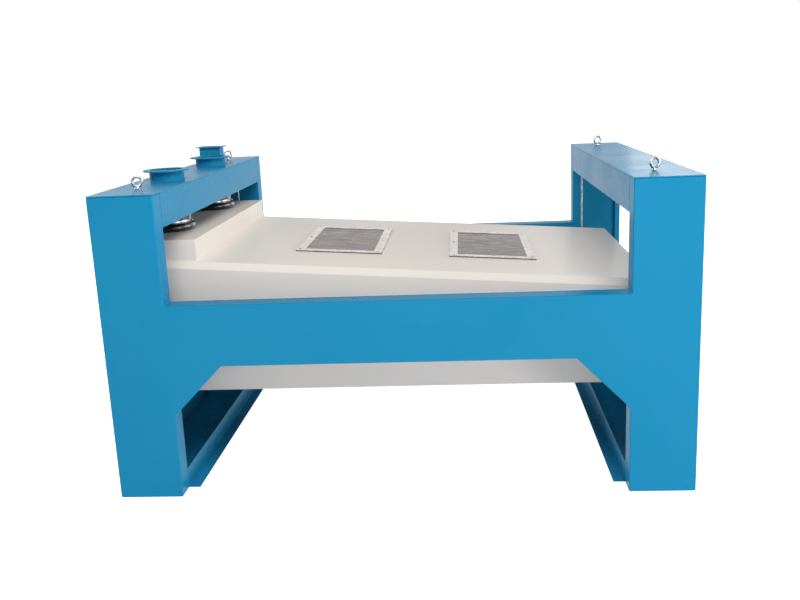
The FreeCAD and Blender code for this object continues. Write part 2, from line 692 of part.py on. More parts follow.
def sieve_front(drop):
    """Steel front of one drawer, wider in height than its slot, with two handles."""
    x0 = BODY_RIGHT + SEAT_GAP
    reach, floor, ceiling = slot_bounds(drop)
    plate = block(x0, x0 + FRONT_PLATE, -reach, reach, floor - FRONT_LAP, ceiling + FRONT_LAP)
    middle = (floor + ceiling) / 2
    handles = [drawer_handle(x0 + FRONT_PLATE, y, middle) for y in (-HANDLE_SPACING / 2, HANDLE_SPACING / 2)]
    return joined([plate] + handles)


def drawer_handle(x, y, z):
    """Bent round bar on the front plate."""
    half = HANDLE_WIDTH / 2
    out = HANDLE_REACH - HANDLE_ROD
    bend = 3 * HANDLE_ROD
    side = bend * math.sqrt(0.5)
    path = Part.Wire([
        Part.makeLine(Vector(x, y - half, z), Vector(x + out - bend, y - half, z)),
        Part.Arc(Vector(x + out - bend, y - half, z), Vector(x + out - bend + side, y - half + bend - side, z),
                 Vector(x + out, y - half + bend, z)).toShape(),
        Part.makeLine(Vector(x + out, y - half + bend, z), Vector(x + out, y + half - bend, z)),
        Part.Arc(Vector(x + out, y + half - bend, z), Vector(x + out - bend + side, y + half - bend + side, z),
                 Vector(x + out - bend, y + half, z)).toShape(),
        Part.makeLine(Vector(x + out - bend, y + half, z), Vector(x, y + half, z))])
    ring = Part.Wire(Part.makeCircle(HANDLE_ROD, Vector(x, y - half, z), Vector(1, 0, 0)))
    return path.makePipeShell([ring], True, True)


def sieve_screen(drop, index):
    """Perforated sheet on top of its frame, as far as the discharge opening."""
    wide = BODY_INSIDE - DECK_SIDE_CLEARANCE
    return slab(deck_start(), chute_left(index), -wide, wide, -drop, -drop + SCREEN)


def cleaning_balls(drop, index):
    """Rubber balls lying on the tray of each bay, which knock the screen clean."""
    x0 = deck_start()
    pitch = (chute_left(index) - DECK_BAR - x0) / DECK_BAYS
    balls = []
    for bay in range(DECK_BAYS):
        for k in range(BALLS_PER_BAY):
            x = x0 + (bay + 0.35 + 0.4 * (k % 2)) * pitch
            y = (k - (BALLS_PER_BAY - 1) / 2) * BODY_INSIDE
            z = cover_z(x) + deck_bottom(drop) + TRAY_MESH + BALL_RADIUS / math.cos(math.atan(FALL))
            balls.append(Part.makeSphere(BALL_RADIUS, Vector(x, y, z)))
    return Part.makeCompound(balls)


def fines_pan():
    """Sloping bottom sheet that carries the fines to the first chute."""
    return slab(BODY_LEFT + BODY_PLATE, chute_left(0), -BODY_INSIDE, BODY_INSIDE,
                -PAN_DROP, -PAN_DROP + PAN_PLATE)


def chute(index):
    """Funnel across the body that leads one product down to its rectangular outlet."""
    x0 = chute_left(index)
    x1 = x0 + CHUTE_LENGTH
    centre = CHUTE_CENTRES[index]
    low_deck = deck_bottom(DECK_DROPS[1]) - RAIL_LEDGE - SEAT_GAP
    top = cover_z(x1) + (low_deck if index else -PAN_DROP + PAN_PLATE)
    half = OUTLET_WIDTH / 2

    def funnel(t, x_from, x_to, over):
        wide = BODY_INSIDE - t
        points = [(-wide, top + over), (-wide, top - SHOULDER), (centre - half + t, CHUTE_THROAT),
                  (centre - half + t, OUTLET_BOTTOM - over), (centre + half - t, OUTLET_BOTTOM - over),
                  (centre + half - t, CHUTE_THROAT), (wide, top - SHOULDER), (wide, top + over)]
        return along_x(points, x_from, x_to)

    t = CHUTE_PLATE
    shell = funnel(0, x0, x1, 0)
    lip = OUTLET_FLANGE if index == 1 else min(OUTLET_FLANGE, (CHUTE_SPACING - CHUTE_LENGTH) / 2 - 1)
    rim = block(x0 - lip, x1 + lip, centre - half - OUTLET_FLANGE, centre + half + OUTLET_FLANGE,
                OUTLET_BOTTOM, OUTLET_BOTTOM + t)
    return joined([shell, rim]).cut(funnel(t, x0 + t, x1 - t, 1))


def channel(x, y0, y1):
    """Rolled channel across the body, open towards the discharge end."""
    z0, z1 = CHANNEL_BOTTOM, CHANNEL_BOTTOM + CHANNEL_HEIGHT
    t = CHANNEL_PLATE
    a, b = x - CHANNEL_WIDTH / 2, x + CHANNEL_WIDTH / 2
    points = [(a, z0), (b, z0), (b, z0 + t), (a + t, z0 + t), (a + t, z1 - t), (b, z1 - t), (b, z1), (a, z1)]
    return along_y(points, y0, y1)


def base_beams():
    """Cross channels of the body's base frame and the pair that carries the motor."""
    beams = [channel(x, -BODY_INSIDE, BODY_INSIDE) for x in CROSS_BEAMS]
    x0 = CROSS_BEAMS[0] + CHANNEL_WIDTH / 2
    x1 = CROSS_BEAMS[1] - CHANNEL_WIDTH / 2
    for sy in (-1, 1):
        near = sy * (LONG_BEAM_SPACING / 2 - CHANNEL_WIDTH / 2)
        far = sy * (LONG_BEAM_SPACING / 2 + CHANNEL_WIDTH / 2)
        t = CHANNEL_PLATE
        z0, z1 = CHANNEL_BOTTOM, CHANNEL_BOTTOM + CHANNEL_HEIGHT
        points = [(near, z0), (far, z0), (far, z0 + t), (near + sy * t, z0 + t),
                  (near + sy * t, z1 - t), (far, z1 - t), (far, z1), (near, z1)]
        beams.append(along_x(points, x0, x1))
    return Part.makeCompound(beams)


# Rope suspension

def rope_places():
    return [(x, sy) for x in ROPE_XS for sy in (-1, 1)]


def rope_brackets():
    """Shelf with two gussets on the side wall at each rope."""
    brackets = []
    for x, sy in rope_places():
        wall = sy * BODY_SIDE
        edge = sy * (BODY_SIDE + ROPE_BRACKET_REACH)
        z0, z1 = ROPE_BRACKET_HEIGHT, ROPE_BRACKET_HEIGHT + ROPE_BRACKET_PLATE
        half = ROPE_BRACKET_LENGTH / 2
        shelf = block(x - half, x + half, wall, edge, z0, z1)
        gussets = [along_x([(wall, z1), (edge, z1), (wall, z1 + ROPE_BRACKET_RISE)], a, a + BODY_PLATE)
                   for a in (x - half, x + half - BODY_PLATE)]
        hole = cylinder(FERRULE_RADIUS + FERRULE_PLAY, x, sy * ROPE_Y, z0, z1)
        brackets.append(joined([shelf] + gussets).cut(hole))
    return Part.makeCompound(brackets)


def wire_ropes():
    """Rope with a swaged ferrule at each end, a stop under the bracket and a disc over the hanger bar."""
    ropes = []
    bottom = ROPE_BRACKET_HEIGHT
    seat = HANGER_TOP + SEAT_GAP
    disc_top = seat + ROPE_DISC_THICKNESS
    nut = 1.8 * FERRULE_RADIUS
    for x, sy in rope_places():
        profile = [(0, bottom - ROPE_NUT), (nut, bottom - ROPE_NUT), (nut, bottom), (FERRULE_RADIUS, bottom),
                   (FERRULE_RADIUS, bottom + FERRULE_LENGTH),
                   (ROPE_RADIUS, bottom + FERRULE_LENGTH + ROPE_RADIUS), (ROPE_RADIUS, seat),
                   (ROPE_DISC, seat), (ROPE_DISC, disc_top), (nut, disc_top), (nut, disc_top + ROPE_NUT),
                   (0, disc_top + ROPE_NUT)]
        ropes.append(turned(profile, x, sy * ROPE_Y))
    return Part.makeCompound(ropes)


# Feed sleeves

def sleeve_profile():
    """Half section of one rubber sleeve: a thick roll at its foot and a straight neck."""
    foot = INLET_TOP + SEAT_GAP
    outer = SLEEVE_INNER + SLEEVE_WALL
    arc = Part.Arc(Vector(outer, 0, foot), Vector(outer + SLEEVE_ROLL, 0, foot + SLEEVE_ROLL),
                   Vector(outer, 0, foot + 2 * SLEEVE_ROLL)).toShape()
    corners = [Vector(outer, 0, foot + 2 * SLEEVE_ROLL), Vector(outer, 0, SLEEVE_TOP),
               Vector(SLEEVE_INNER, 0, SLEEVE_TOP), Vector(SLEEVE_INNER, 0, foot), Vector(outer, 0, foot)]
    lines = [Part.makeLine(a, b) for a, b in zip(corners, corners[1:])]
    return Part.Face(Part.Wire([arc] + lines))


def feed_sleeves():
    sleeves = []
    for y in SPOUT_YS:
        sleeve = sleeve_profile().revolve(Vector(0, 0, 0), UP, 360)
        sleeve.translate(Vector(SPOUT_X, y, 0))
        sleeves.append(sleeve)
    return Part.makeCompound(sleeves)


def sleeve_clamps():
    """Steel band with its screw housing round each sleeve, just above the roll."""
    clamps = []
    inner = SLEEVE_INNER + SLEEVE_WALL
    z0 = INLET_TOP + SEAT_GAP + 2 * SLEEVE_ROLL + 1
    for y in SPOUT_YS:
        x = SPOUT_X
        hoop = pipe(inner + CLAMP_THICKNESS, inner, x, y, z0, z0 + CLAMP_WIDTH)
        lug = block(x + inner + CLAMP_THICKNESS / 2, x + inner + CLAMP_WIDTH,
                    y - CLAMP_WIDTH, y + CLAMP_WIDTH, z0, z0 + CLAMP_WIDTH)
        clamps.append(joined([hoop, lug]))
    return Part.makeCompound(clamps)


# Drive

def bearing_housing():
    """Flanged housing hung under the drive plate, with seats for two bearings."""
    top = HOUSING_TOP
    profile = [(SHAFT_RADIUS + 2, HOUSING_BOTTOM), (HOUSING_RADIUS, HOUSING_BOTTOM),
               (HOUSING_RADIUS, DRIVE_PLATE_BOTTOM - HOUSING_FLANGE),
               (HOUSING_FLANGE_RADIUS, DRIVE_PLATE_BOTTOM - HOUSING_FLANGE),
               (HOUSING_FLANGE_RADIUS, DRIVE_PLATE_BOTTOM), (HOUSING_RADIUS, DRIVE_PLATE_BOTTOM),
               (HOUSING_RADIUS, top), (0, top), (0, top - HOUSING_CAP),
               (BEARING_RADIUS, top - HOUSING_CAP), (BEARING_RADIUS, HOUSING_BOTTOM + HOUSING_CAP),
               (SHAFT_RADIUS + 2, HOUSING_BOTTOM + HOUSING_CAP)]
    return turned(profile, 0, 0)


def drive_plate():
    half = DRIVE_PLATE_SIZE / 2
    plate = block(-half, half, -half, half, DRIVE_PLATE_BOTTOM, CHANNEL_BOTTOM)
    return plate.cut(cylinder(HOUSING_RADIUS, 0, 0, DRIVE_PLATE_BOTTOM, CHANNEL_BOTTOM))


def drive_bearings():
    """Two deep bearings, one at each end of the housing's bore."""
    low = HOUSING_BOTTOM + HOUSING_CAP
    high = HOUSING_TOP - HOUSING_CAP - BEARING_WIDTH
    return Part.makeCompound([pipe(BEARING_RADIUS, SHAFT_RADIUS + SHAFT_PLAY, 0, 0, z, z + BEARING_WIDTH)
                              for z in (low, high)])


def grooved(radius, inner, x):
    """Rim of a belt wheel or pulley with a groove for each belt."""
    z0, z1 = BELT_LEVEL - WHEEL_WIDTH / 2, BELT_LEVEL + WHEEL_WIDTH / 2
    outer = radius + BELT_ABOVE_PITCH
    base = radius - BELT_BELOW_PITCH - 2
    profile = [(inner, z0), (outer, z0)]
    slope = (BELT_TOP - BELT_BOTTOM) / 2 / (BELT_ABOVE_PITCH + BELT_BELOW_PITCH)
    for i in range(BELTS):
        z = BELT_LEVEL + (i - (BELTS - 1) / 2) * BELT_SPACING
        wide = BELT_TOP / 2 + GROOVE_CLEARANCE
        narrow = wide - slope * (outer - base)
        profile += [(outer, z - wide), (base, z - narrow), (base, z + narrow), (outer, z + wide)]
    profile += [(outer, z1), (inner, z1)]
    return turned(profile, x, 0)


def drive_wheel():
    """Three-groove cast wheel with a web, a hub and round openings away from the weights."""
    rim = grooved(WHEEL_PITCH_RADIUS, WHEEL_PITCH_RADIUS - RIM_DEPTH, 0)
    half = WHEEL_WIDTH / 2
    web = cylinder(WHEEL_PITCH_RADIUS - RIM_DEPTH, 0, 0, BELT_LEVEL - WEB / 2, BELT_LEVEL + WEB / 2)
    hub = cylinder(HUB_RADIUS, 0, 0, BELT_LEVEL - half, BELT_LEVEL + half)
    wheel = joined([rim, web, hub])
    holes = [cylinder(SHAFT_RADIUS, 0, 0, BELT_LEVEL - half, BELT_LEVEL + half)]
    for angle in WEB_HOLE_ANGLES:
        a = math.radians(angle)
        holes.append(cylinder(WEB_HOLE_RADIUS, WEB_HOLE_CIRCLE * math.cos(a), WEB_HOLE_CIRCLE * math.sin(a),
                              BELT_LEVEL - half, BELT_LEVEL + half))
    return cut_all(wheel, holes)


def balance_weights():
    """Ring segments above and below the web, on the side away from the swing."""
    solids = []
    start = 270 - WEIGHT_ANGLE / 2
    for z0 in (BELT_LEVEL + WEB / 2, BELT_LEVEL - WEB / 2 - WEIGHT_THICKNESS):
        disc = Part.makeCylinder(WEIGHT_OUTER, WEIGHT_THICKNESS, Vector(0, 0, z0), UP, WEIGHT_ANGLE)
        disc = disc.cut(cylinder(WEIGHT_INNER, 0, 0, z0, z0 + WEIGHT_THICKNESS))
        disc.rotate(Vector(0, 0, 0), UP, start)
        solids.append(disc)
    return Part.makeCompound(solids)


def drive_shaft():
    """Upright shaft with a collar on which the wheel's hub is drawn up."""
    low = BELT_LEVEL - WHEEL_WIDTH / 2 - SHAFT_TAIL
    hub_bottom = BELT_LEVEL - WHEEL_WIDTH / 2
    high = HOUSING_TOP - HOUSING_CAP - SHAFT_HEADROOM
    collar = SHAFT_RADIUS * 1.3
    profile = [(0, low), (collar, low), (collar, hub_bottom), (SHAFT_RADIUS, hub_bottom),
               (SHAFT_RADIUS, high), (0, high)]
    return turned(profile, 0, 0)


def motor_bracket():
    """Hat-shaped shelf hung under the two long channels."""
    near = LONG_BEAM_SPACING / 2 - CHANNEL_WIDTH / 2
    t = MOTOR_PLATE
    bottom = MOTOR_SEAT - t
    right = [(near, bottom), (near, CHANNEL_BOTTOM - t), (near + MOTOR_BRACKET_LEDGE, CHANNEL_BOTTOM - t),
             (near + MOTOR_BRACKET_LEDGE, CHANNEL_BOTTOM), (near - t, CHANNEL_BOTTOM), (near - t, MOTOR_SEAT)]
    half = MOTOR_BRACKET_LENGTH / 2
    body = along_x(right + [(-y, z) for y, z in reversed(right)], PULLEY_X - half, PULLEY_X + half)
    return body.cut(cylinder(MOTOR_SHAFT + MOTOR_SHAFT_CLEARANCE, PULLEY_X, 0, bottom, MOTOR_SEAT))


def drive_motor():
    """Flange motor standing on its bracket, with cooling fins, fan cowl and terminal box."""
    z = MOTOR_SEAT
    body_top = z + MOTOR_FLANGE + MOTOR_BODY
    cowl_top = body_top + MOTOR_COWL
    fin_radius = MOTOR_RADIUS + FIN_HEIGHT
    profile = [(MOTOR_SHAFT + 2, z), (MOTOR_FLANGE_RADIUS, z), (MOTOR_FLANGE_RADIUS, z + MOTOR_FLANGE),
               (MOTOR_RADIUS, z + MOTOR_FLANGE), (MOTOR_RADIUS, body_top), (fin_radius, body_top),
               (fin_radius, cowl_top - FIN_HEIGHT), (MOTOR_RADIUS, cowl_top), (0, cowl_top),
               (0, z + MOTOR_FLANGE), (MOTOR_SHAFT + 2, z + MOTOR_FLANGE)]
    pieces = [turned(profile, PULLEY_X, 0)]
    for i in range(MOTOR_FINS):
        fin = block(MOTOR_RADIUS - FIN_ROOT, fin_radius, -FIN_THICKNESS / 2, FIN_THICKNESS / 2,
                    z + MOTOR_FLANGE + FIN_THICKNESS, body_top)
        fin.rotate(Vector(0, 0, 0), UP, 360.0 * (i + 0.5) / MOTOR_FINS)
        fin.translate(Vector(PULLEY_X, 0, 0))
        pieces.append(fin)
    length, width, depth = TERMINAL_BOX
    middle = z + MOTOR_FLANGE + MOTOR_BODY / 2
    face = PULLEY_X - MOTOR_RADIUS
    pieces.append(block(face - depth, face + TERMINAL_BOX_LAP, -width / 2, width / 2,
                        middle - length / 2, middle + length / 2))
    return joined(pieces)


def motor_pulley():
    """Small three-groove pulley on the motor's shaft end."""
    bore = MOTOR_SHAFT
    pulley = grooved(PULLEY_PITCH_RADIUS, bore, PULLEY_X)
    shaft = cylinder(bore, PULLEY_X, 0, BELT_LEVEL - WHEEL_WIDTH / 2, MOTOR_SEAT + MOTOR_FLANGE - SEAT_GAP)
    return joined([pulley, shaft])


def belt(z):
    """One V-belt round the wheel and the pulley: two arcs and two straight runs."""
    def section(cx, radius, nx, ny):
        out = radius + BELT_ABOVE_PITCH - GROOVE_CLEARANCE
        inn = radius - BELT_BELOW_PITCH
        rows = [(inn, -BELT_BOTTOM / 2), (out, -BELT_TOP / 2), (out, BELT_TOP / 2), (inn, BELT_BOTTOM / 2)]
        return face_of([Vector(cx + r * nx, r * ny, z + h) for r, h in rows])

    lean = math.asin((WHEEL_PITCH_RADIUS - PULLEY_PITCH_RADIUS) / PULLEY_DISTANCE)
    nx, ny = -math.sin(lean), math.cos(lean)
    turn = math.degrees(lean)
    big = section(0, WHEEL_PITCH_RADIUS, nx, -ny).revolve(Vector(0, 0, 0), UP, 180 + 2 * turn)
    small = section(PULLEY_X, PULLEY_PITCH_RADIUS, nx, ny).revolve(Vector(PULLEY_X, 0, 0), UP, 180 - 2 * turn)
    drop = WHEEL_PITCH_RADIUS - PULLEY_PITCH_RADIUS
    runs = [section(0, WHEEL_PITCH_RADIUS, nx, s * ny).extrude(Vector(PULLEY_X - drop * nx, -s * drop * ny, 0))
            for s in (-1, 1)]
    return joined([big, small] + runs)


def drive_belts():
    return Part.makeCompound([belt(BELT_LEVEL + (i - (BELTS - 1) / 2) * BELT_SPACING) for i in range(BELTS)])


def stand_nodes():
    nodes = {}
    for sx, end in ((-1, "feed"), (1, "discharge")):
        for sy, side in ((-1, "front"), (1, "rear")):
            nodes["%s_%s_column" % (end, side)] = column(sx, sy)
            nodes["%s_%s_gusset" % (end, side)] = gusset(sx, sy)
        nodes["%s_top_plate" % end] = top_plate(sx)
        nodes["%s_inner_band" % end] = band(sx * INNER_X, sx)
        nodes["%s_base_sill" % end] = base_sill(sx)
    nodes["front_beam"] = side_beam(-1)
    nodes["rear_beam"] = side_beam(1)
    nodes["feed_end_panel"] = feed_end_panel()
    nodes["discharge_end_panel"] = discharge_end_panel()
    nodes["discharge_outer_band"] = discharge_outer_band()
    nodes["hanger_bars"] = hanger_bars()
    nodes["feed_spouts"] = feed_spouts()
    nodes["aspiration_port"] = aspiration_port()
    nodes["lifting_eyebolts"] = lifting_eyebolts()
    return nodes


def body_nodes():
    nodes = {}
    nodes["front_side_wall"] = side_wall(-1)
    nodes["rear_side_wall"] = side_wall(1)
    nodes["feed_end_wall"] = feed_end_wall()
    nodes["discharge_end_wall"] = discharge_end_wall()
    nodes["top_cover"] = top_cover()
    nodes["inlet_box"] = inlet_box()
    nodes["feed_baffle"] = feed_baffle()
    nodes["window_frames"] = window_frames()
    nodes["window_panes"] = window_panes()
    nodes["window_screws"] = window_screws()
    for index, deck, drop in ((2, "upper", DECK_DROPS[0]), (1, "lower", DECK_DROPS[1])):
        nodes["%s_sieve_frame" % deck] = sieve_frame(drop, index)
        nodes["%s_sieve_front" % deck] = sieve_front(drop)
        nodes["%s_sieve_screen" % deck] = sieve_screen(drop, index)
        nodes["%s_cleaning_balls" % deck] = cleaning_balls(drop, index)
    nodes["fines_pan"] = fines_pan()
    for index, product in enumerate(("fines", "grain", "coarse")):
        nodes["%s_chute" % product] = chute(index)
    nodes["base_beams"] = base_beams()
    nodes["rope_brackets"] = rope_brackets()
    nodes["wire_ropes"] = wire_ropes()
    nodes["feed_sleeves"] = feed_sleeves()
    nodes["sleeve_clamps"] = sleeve_clamps()
    return nodes


def drive_nodes():
    nodes = {}
    nodes["drive_plate"] = drive_plate()
    nodes["bearing_housing"] = bearing_housing()
    nodes["drive_bearings"] = drive_bearings()
    nodes["drive_wheel"] = drive_wheel()
    nodes["balance_weights"] = balance_weights()
    nodes["drive_shaft"] = drive_shaft()
    nodes["motor_bracket"] = motor_bracket()
    nodes["drive_motor"] = drive_motor()
    nodes["motor_pulley"] = motor_pulley()
    nodes["drive_belts"] = drive_belts()
    return nodes


def build():
    """The stand, and the swinging parts one swing radius to the rear of their centre."""
    nodes = stand_nodes()
    swinging = {**body_nodes(), **drive_nodes()}
    for name, shape in swinging.items():
        nodes[name] = shape.translated(Vector(0, SWING_RADIUS, 0))
    return nodes


os.makedirs("parts", exist_ok=True)
for name, shape in build().items():
    shape.exportStep("parts/%s.step" % name)
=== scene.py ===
import json
import math

import bmesh
import bpy
from mathutils import Matrix, Vector


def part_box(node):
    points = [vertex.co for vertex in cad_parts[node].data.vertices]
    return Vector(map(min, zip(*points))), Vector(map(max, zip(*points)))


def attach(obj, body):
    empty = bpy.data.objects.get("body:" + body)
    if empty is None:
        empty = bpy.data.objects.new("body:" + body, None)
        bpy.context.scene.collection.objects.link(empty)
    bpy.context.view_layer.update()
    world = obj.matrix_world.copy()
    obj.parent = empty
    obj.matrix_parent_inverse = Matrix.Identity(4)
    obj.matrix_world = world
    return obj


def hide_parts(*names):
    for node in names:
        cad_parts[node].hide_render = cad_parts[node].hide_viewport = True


bl_info = {
    "name": "Rotary grain cleaner",
    "version": (1, 0, 0),
    "blender": (4, 5, 0),
    "location": "View3D > Sidebar > Grain cleaner",
    "description": "Finishes a rotary grain cleaner over its packed frame, piece by piece",
    "category": "Object",
}

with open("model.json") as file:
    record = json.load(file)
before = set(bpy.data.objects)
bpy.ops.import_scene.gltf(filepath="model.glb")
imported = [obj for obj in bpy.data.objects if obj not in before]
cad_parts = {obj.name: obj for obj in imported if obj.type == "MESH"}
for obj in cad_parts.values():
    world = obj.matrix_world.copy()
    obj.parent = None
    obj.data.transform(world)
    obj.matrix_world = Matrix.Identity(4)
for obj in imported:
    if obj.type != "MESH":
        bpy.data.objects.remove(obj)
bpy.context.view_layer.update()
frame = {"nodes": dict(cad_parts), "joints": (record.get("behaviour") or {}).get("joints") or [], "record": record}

# Sizes in metres and angles in degrees that the boxes of the solids don't give

MM = 0.001
MERGE_DISTANCE = 1e-5

# Edges sharper than these angles stay hard in shading
HARD_EDGE_ANGLE = 35.0
BEVELLED_ANGLE = 50.0
NO_HARD_EDGES = 180.0

# A full turn in radians, for parts turned by chance
FULL_TURN = 6.283

# Radii of edges, by how the piece is made
FINE_EDGE = 0.0008
THIN_EDGE = 0.001
MACHINE_EDGE = 0.0015
CAST_EDGE = 0.002
PLATE_EDGE = 0.0028
BAR_EDGE = 0.003

# At rest the middle of the sieve body stands this far along +Y on its circle
SWING = 0.0075

SPOUT_RADIUS = 0.097
PORT_INSET = 0.02
WELD_STEPS = 180
WELD_RIPPLES = 60

# Each eyebolt was tightened to an angle of its own; its collar and shank are radii and heights
EYE_RING = 0.0243
EYE_WIRE = 0.0072
EYE_TURNS = (20.0, 26.0, 23.0, 18.0)
EYE_COLLAR = ((0.0, 0.0), (0.018, 0.0), (0.018, 0.0045), (0.0165, 0.006), (0.0125, 0.0068),
              (0.0105, 0.012), (0.0, 0.0175))
EYE_SHANK = ((0.0, -0.015), (0.0068, -0.015), (0.008, -0.0138), (0.008, 0.0), (0.0, 0.0))

# Each rope is swaged into a socket on its bracket and hangs from a disc a little above its bar
STRANDS = 6
STRAND_CIRCLE = 0.0039
SWAGE_HEIGHT = 0.112
SEAT_GAP = 0.0003
DISC_HEIGHT = 0.01
STOP_RADIUS = 0.018

# The clamp's barrel lies along Y and is radii and places
SLEEVE_ROLL = 0.023
SLEEVE_WALL = 0.004
CLAMP_BAND = 0.0025
CLAMP_BARREL = ((0, -0.013), (0.0052, -0.013), (0.006, -0.012), (0.006, 0.010), (0.0048, 0.0112),
                (0.0048, 0.0135), (0, 0.0135))

# Across flats and height of each hexagon head or nut
M8_HEAD = (0.013, 0.008)
M8_FLAT_HEAD = (0.013, 0.0055)
M12_HEAD = (0.019, 0.008)
M16_HEAD = (0.024, 0.01)
M16_NUT = (0.024, 0.0125)

# Places of bolts, radii of their circles and thicknesses of what they go through
DRAWER_BOLTS_Y = (-0.86, -0.29, 0.29, 0.86)
DRAWER_BOLTS_Z = (-0.03, 0.03)
DRAWER_FRONT = 0.006
PLATE_BOLTS_X = (-0.25, 0.25)
PLATE_BOLTS_Y = (-0.26, -0.13, 0.13, 0.26)
BRACKET_INSET = (0.03, 0.018)
BRACKET_PLATE = 0.01
HOUSING_CIRCLE = 0.112
HOUSING_FLANGE = 0.014
MOTOR_CIRCLE = 0.0915
MOTOR_FLANGE = 0.012
MOTOR_REACH = 0.1
WEIGHT_CIRCLE = 0.2

# Strengths of the floor's and the world's own light: as light on the object, and where they are seen
FLOOR_DROP = 0.0005
FLOOR_LIGHT = (0.2, 0.97)
WORLD_LIGHT = (0.24, 1.0)

# Name, place, aim, size, power in watts and colour of each lamp
LAMPS = (
    ("right window", (18.9, 2.5, 5.5), (0.0, 0.0, 1.1), (12.6, 10.5), 2000.0, "#fffefc"),
    ("front fill", (1.2, -7.0, 7.4), (0.2, 0.0, 0.9), (6.0, 4.0), 620.0, "#fffaf6"),
    ("low right fill", (5.0, -5.5, 1.2), (1.6, -1.2, 0.9), (2.0, 1.6), 80.0, "#ffffff"),
    ("rear sheen", (4.7, 9.0, 3.0), (1.3, 0.0, 1.6), (3.4, 3.4), 50.0, "#ffffff"),
    ("rear left fill", (-7.0, 6.0, 4.2), (0.0, 0.0, 0.9), (5.0, 4.0), 260.0, "#ffffff"),
)

UP = Vector((0, 0, 1))
DOWN = Vector((0, 0, -1))


# Small helpers

def colour(text):
    """sRGB hex to the linear colour that shaders take."""
    parts = [int(text[i:i + 2], 16) / 255 for i in (1, 3, 5)]
    return (*(c / 12.92 if c <= 0.04045 else ((c + 0.055) / 1.055) ** 2.4 for c in parts), 1.0)


def feed(tree, socket, value):
    """Link an output to a socket, or set the socket's value."""
    if isinstance(value, bpy.types.NodeSocket):
        tree.links.new(value, socket)
    else:
        socket.default_value = value


def add_node(tree, kind, settings=None, **inputs):
    """Add a node, set its properties, and feed its inputs by name or by number, such as i0."""
    node = tree.nodes.new(kind)
    for key, value in (settings or {}).items():
        setattr(node, key, value)
    for key, value in inputs.items():
        index = int(key[1:]) if key[0] == "i" and key[1:].isdigit() else key.replace("_", " ")
        feed(tree, node.inputs[index], value)
    return node


def new_object(name, mesh):
    """An object at the origin that shows a mesh."""
    piece = bpy.data.objects.new(name, mesh)
    bpy.context.scene.collection.objects.link(piece)
    return piece


def wear(mesh, finish):
    """Give a mesh one material."""
    mesh.materials.clear()
    mesh.materials.append(finish)


def shade(mesh, angle=HARD_EDGE_ANGLE):
    """Shade a mesh smooth, split at edges sharper than an angle."""
    mesh.shade_smooth()
    mesh.set_sharp_from_angle(angle=math.radians(angle))


def finish_mesh(bm, name, finish=None, angle=HARD_EDGE_ANGLE):
    """Turn a bmesh into a shaded piece at the origin."""
    mesh = bpy.data.meshes.new(name)
    bm.normal_update()
    bm.to_mesh(mesh)
    bm.free()
    shade(mesh, angle)
    if finish:
        wear(mesh, finish)
    return new_object(name, mesh)


def applied(piece):
    """Replace a piece's mesh by its evaluated one and drop its modifiers."""
    bpy.context.view_layer.update()
    graph = bpy.context.evaluated_depsgraph_get()
    mesh = bpy.data.meshes.new_from_object(piece.evaluated_get(graph))
    piece.modifiers.clear()
    piece.data = mesh


def rounded(piece, width, segments=2):
    """Round a piece's edges as a folded or machined edge is, and keep its flats flat in shading."""
    bevel = piece.modifiers.new("edge", "BEVEL")
    bevel.width = width
    bevel.segments = segments
    bevel.limit_method = "ANGLE"
    bevel.angle_limit = math.radians(HARD_EDGE_ANGLE)
    bevel.miter_outer = "MITER_ARC"
    applied(piece)
    piece.data.set_sharp_from_angle(angle=math.radians(BEVELLED_ANGLE))
    flats = piece.modifiers.new("flats", "WEIGHTED_NORMAL")
    flats.keep_sharp = True
    flats.weight = 100
    applied(piece)


def clean_copy(node):
    """A merged copy of a CAD node's mesh."""
    bm = bmesh.new()
    bm.from_mesh(frame["nodes"][node].data)
    bmesh.ops.remove_doubles(bm, verts=bm.verts, dist=MERGE_DISTANCE)
    return bm


def softened(node, width, finish, segments=2):
    """Dress a CAD node in a copy of itself with rounded edges."""
    piece = finish_mesh(clean_copy(node), node + "_sheet", finish, NO_HARD_EDGES)
    rounded(piece, width, segments)
    stand_for(piece, node)


def body_of(node):
    """The name of the body that a CAD node belongs to."""
    for body, members in frame["record"]["behaviour"]["bodies"].items():
        if node in members:
            return body
    raise RuntimeError("no body holds " + node)


def stand_for(piece, *nodes):
    """Let a piece ride where its CAD nodes do and stand for them."""
    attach(piece, body_of(nodes[0]))
    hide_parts(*nodes)


def ride_like(piece, node):
    """Let an added piece ride on the body of a CAD node."""
    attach(piece, body_of(node))


def paint_node(node, finish):
    """Give a CAD node's own mesh a material."""
    wear(frame["nodes"][node].data, finish)


def on_circle(centre, radius, angle, z=0.0):
    """Point at an angle on a level circle."""
    return Vector((centre[0] + radius * math.cos(angle), centre[1] + radius * math.sin(angle), z))


def raised(profile, height):
    """A profile of radii and heights, moved up to a height."""
    return [(radius, height + z) for radius, z in profile]


def bridge(bm, rings, closed=False):
    """Join rings that have equally many vertices by quads, one to the next."""
    following = rings[1:] + rings[:1] if closed else rings[1:]
    for first, second in zip(rings, following):
        for k in range(len(first)):
            n = (k + 1) % len(first)
            bm.faces.new((first[k], first[n], second[n], second[k]))


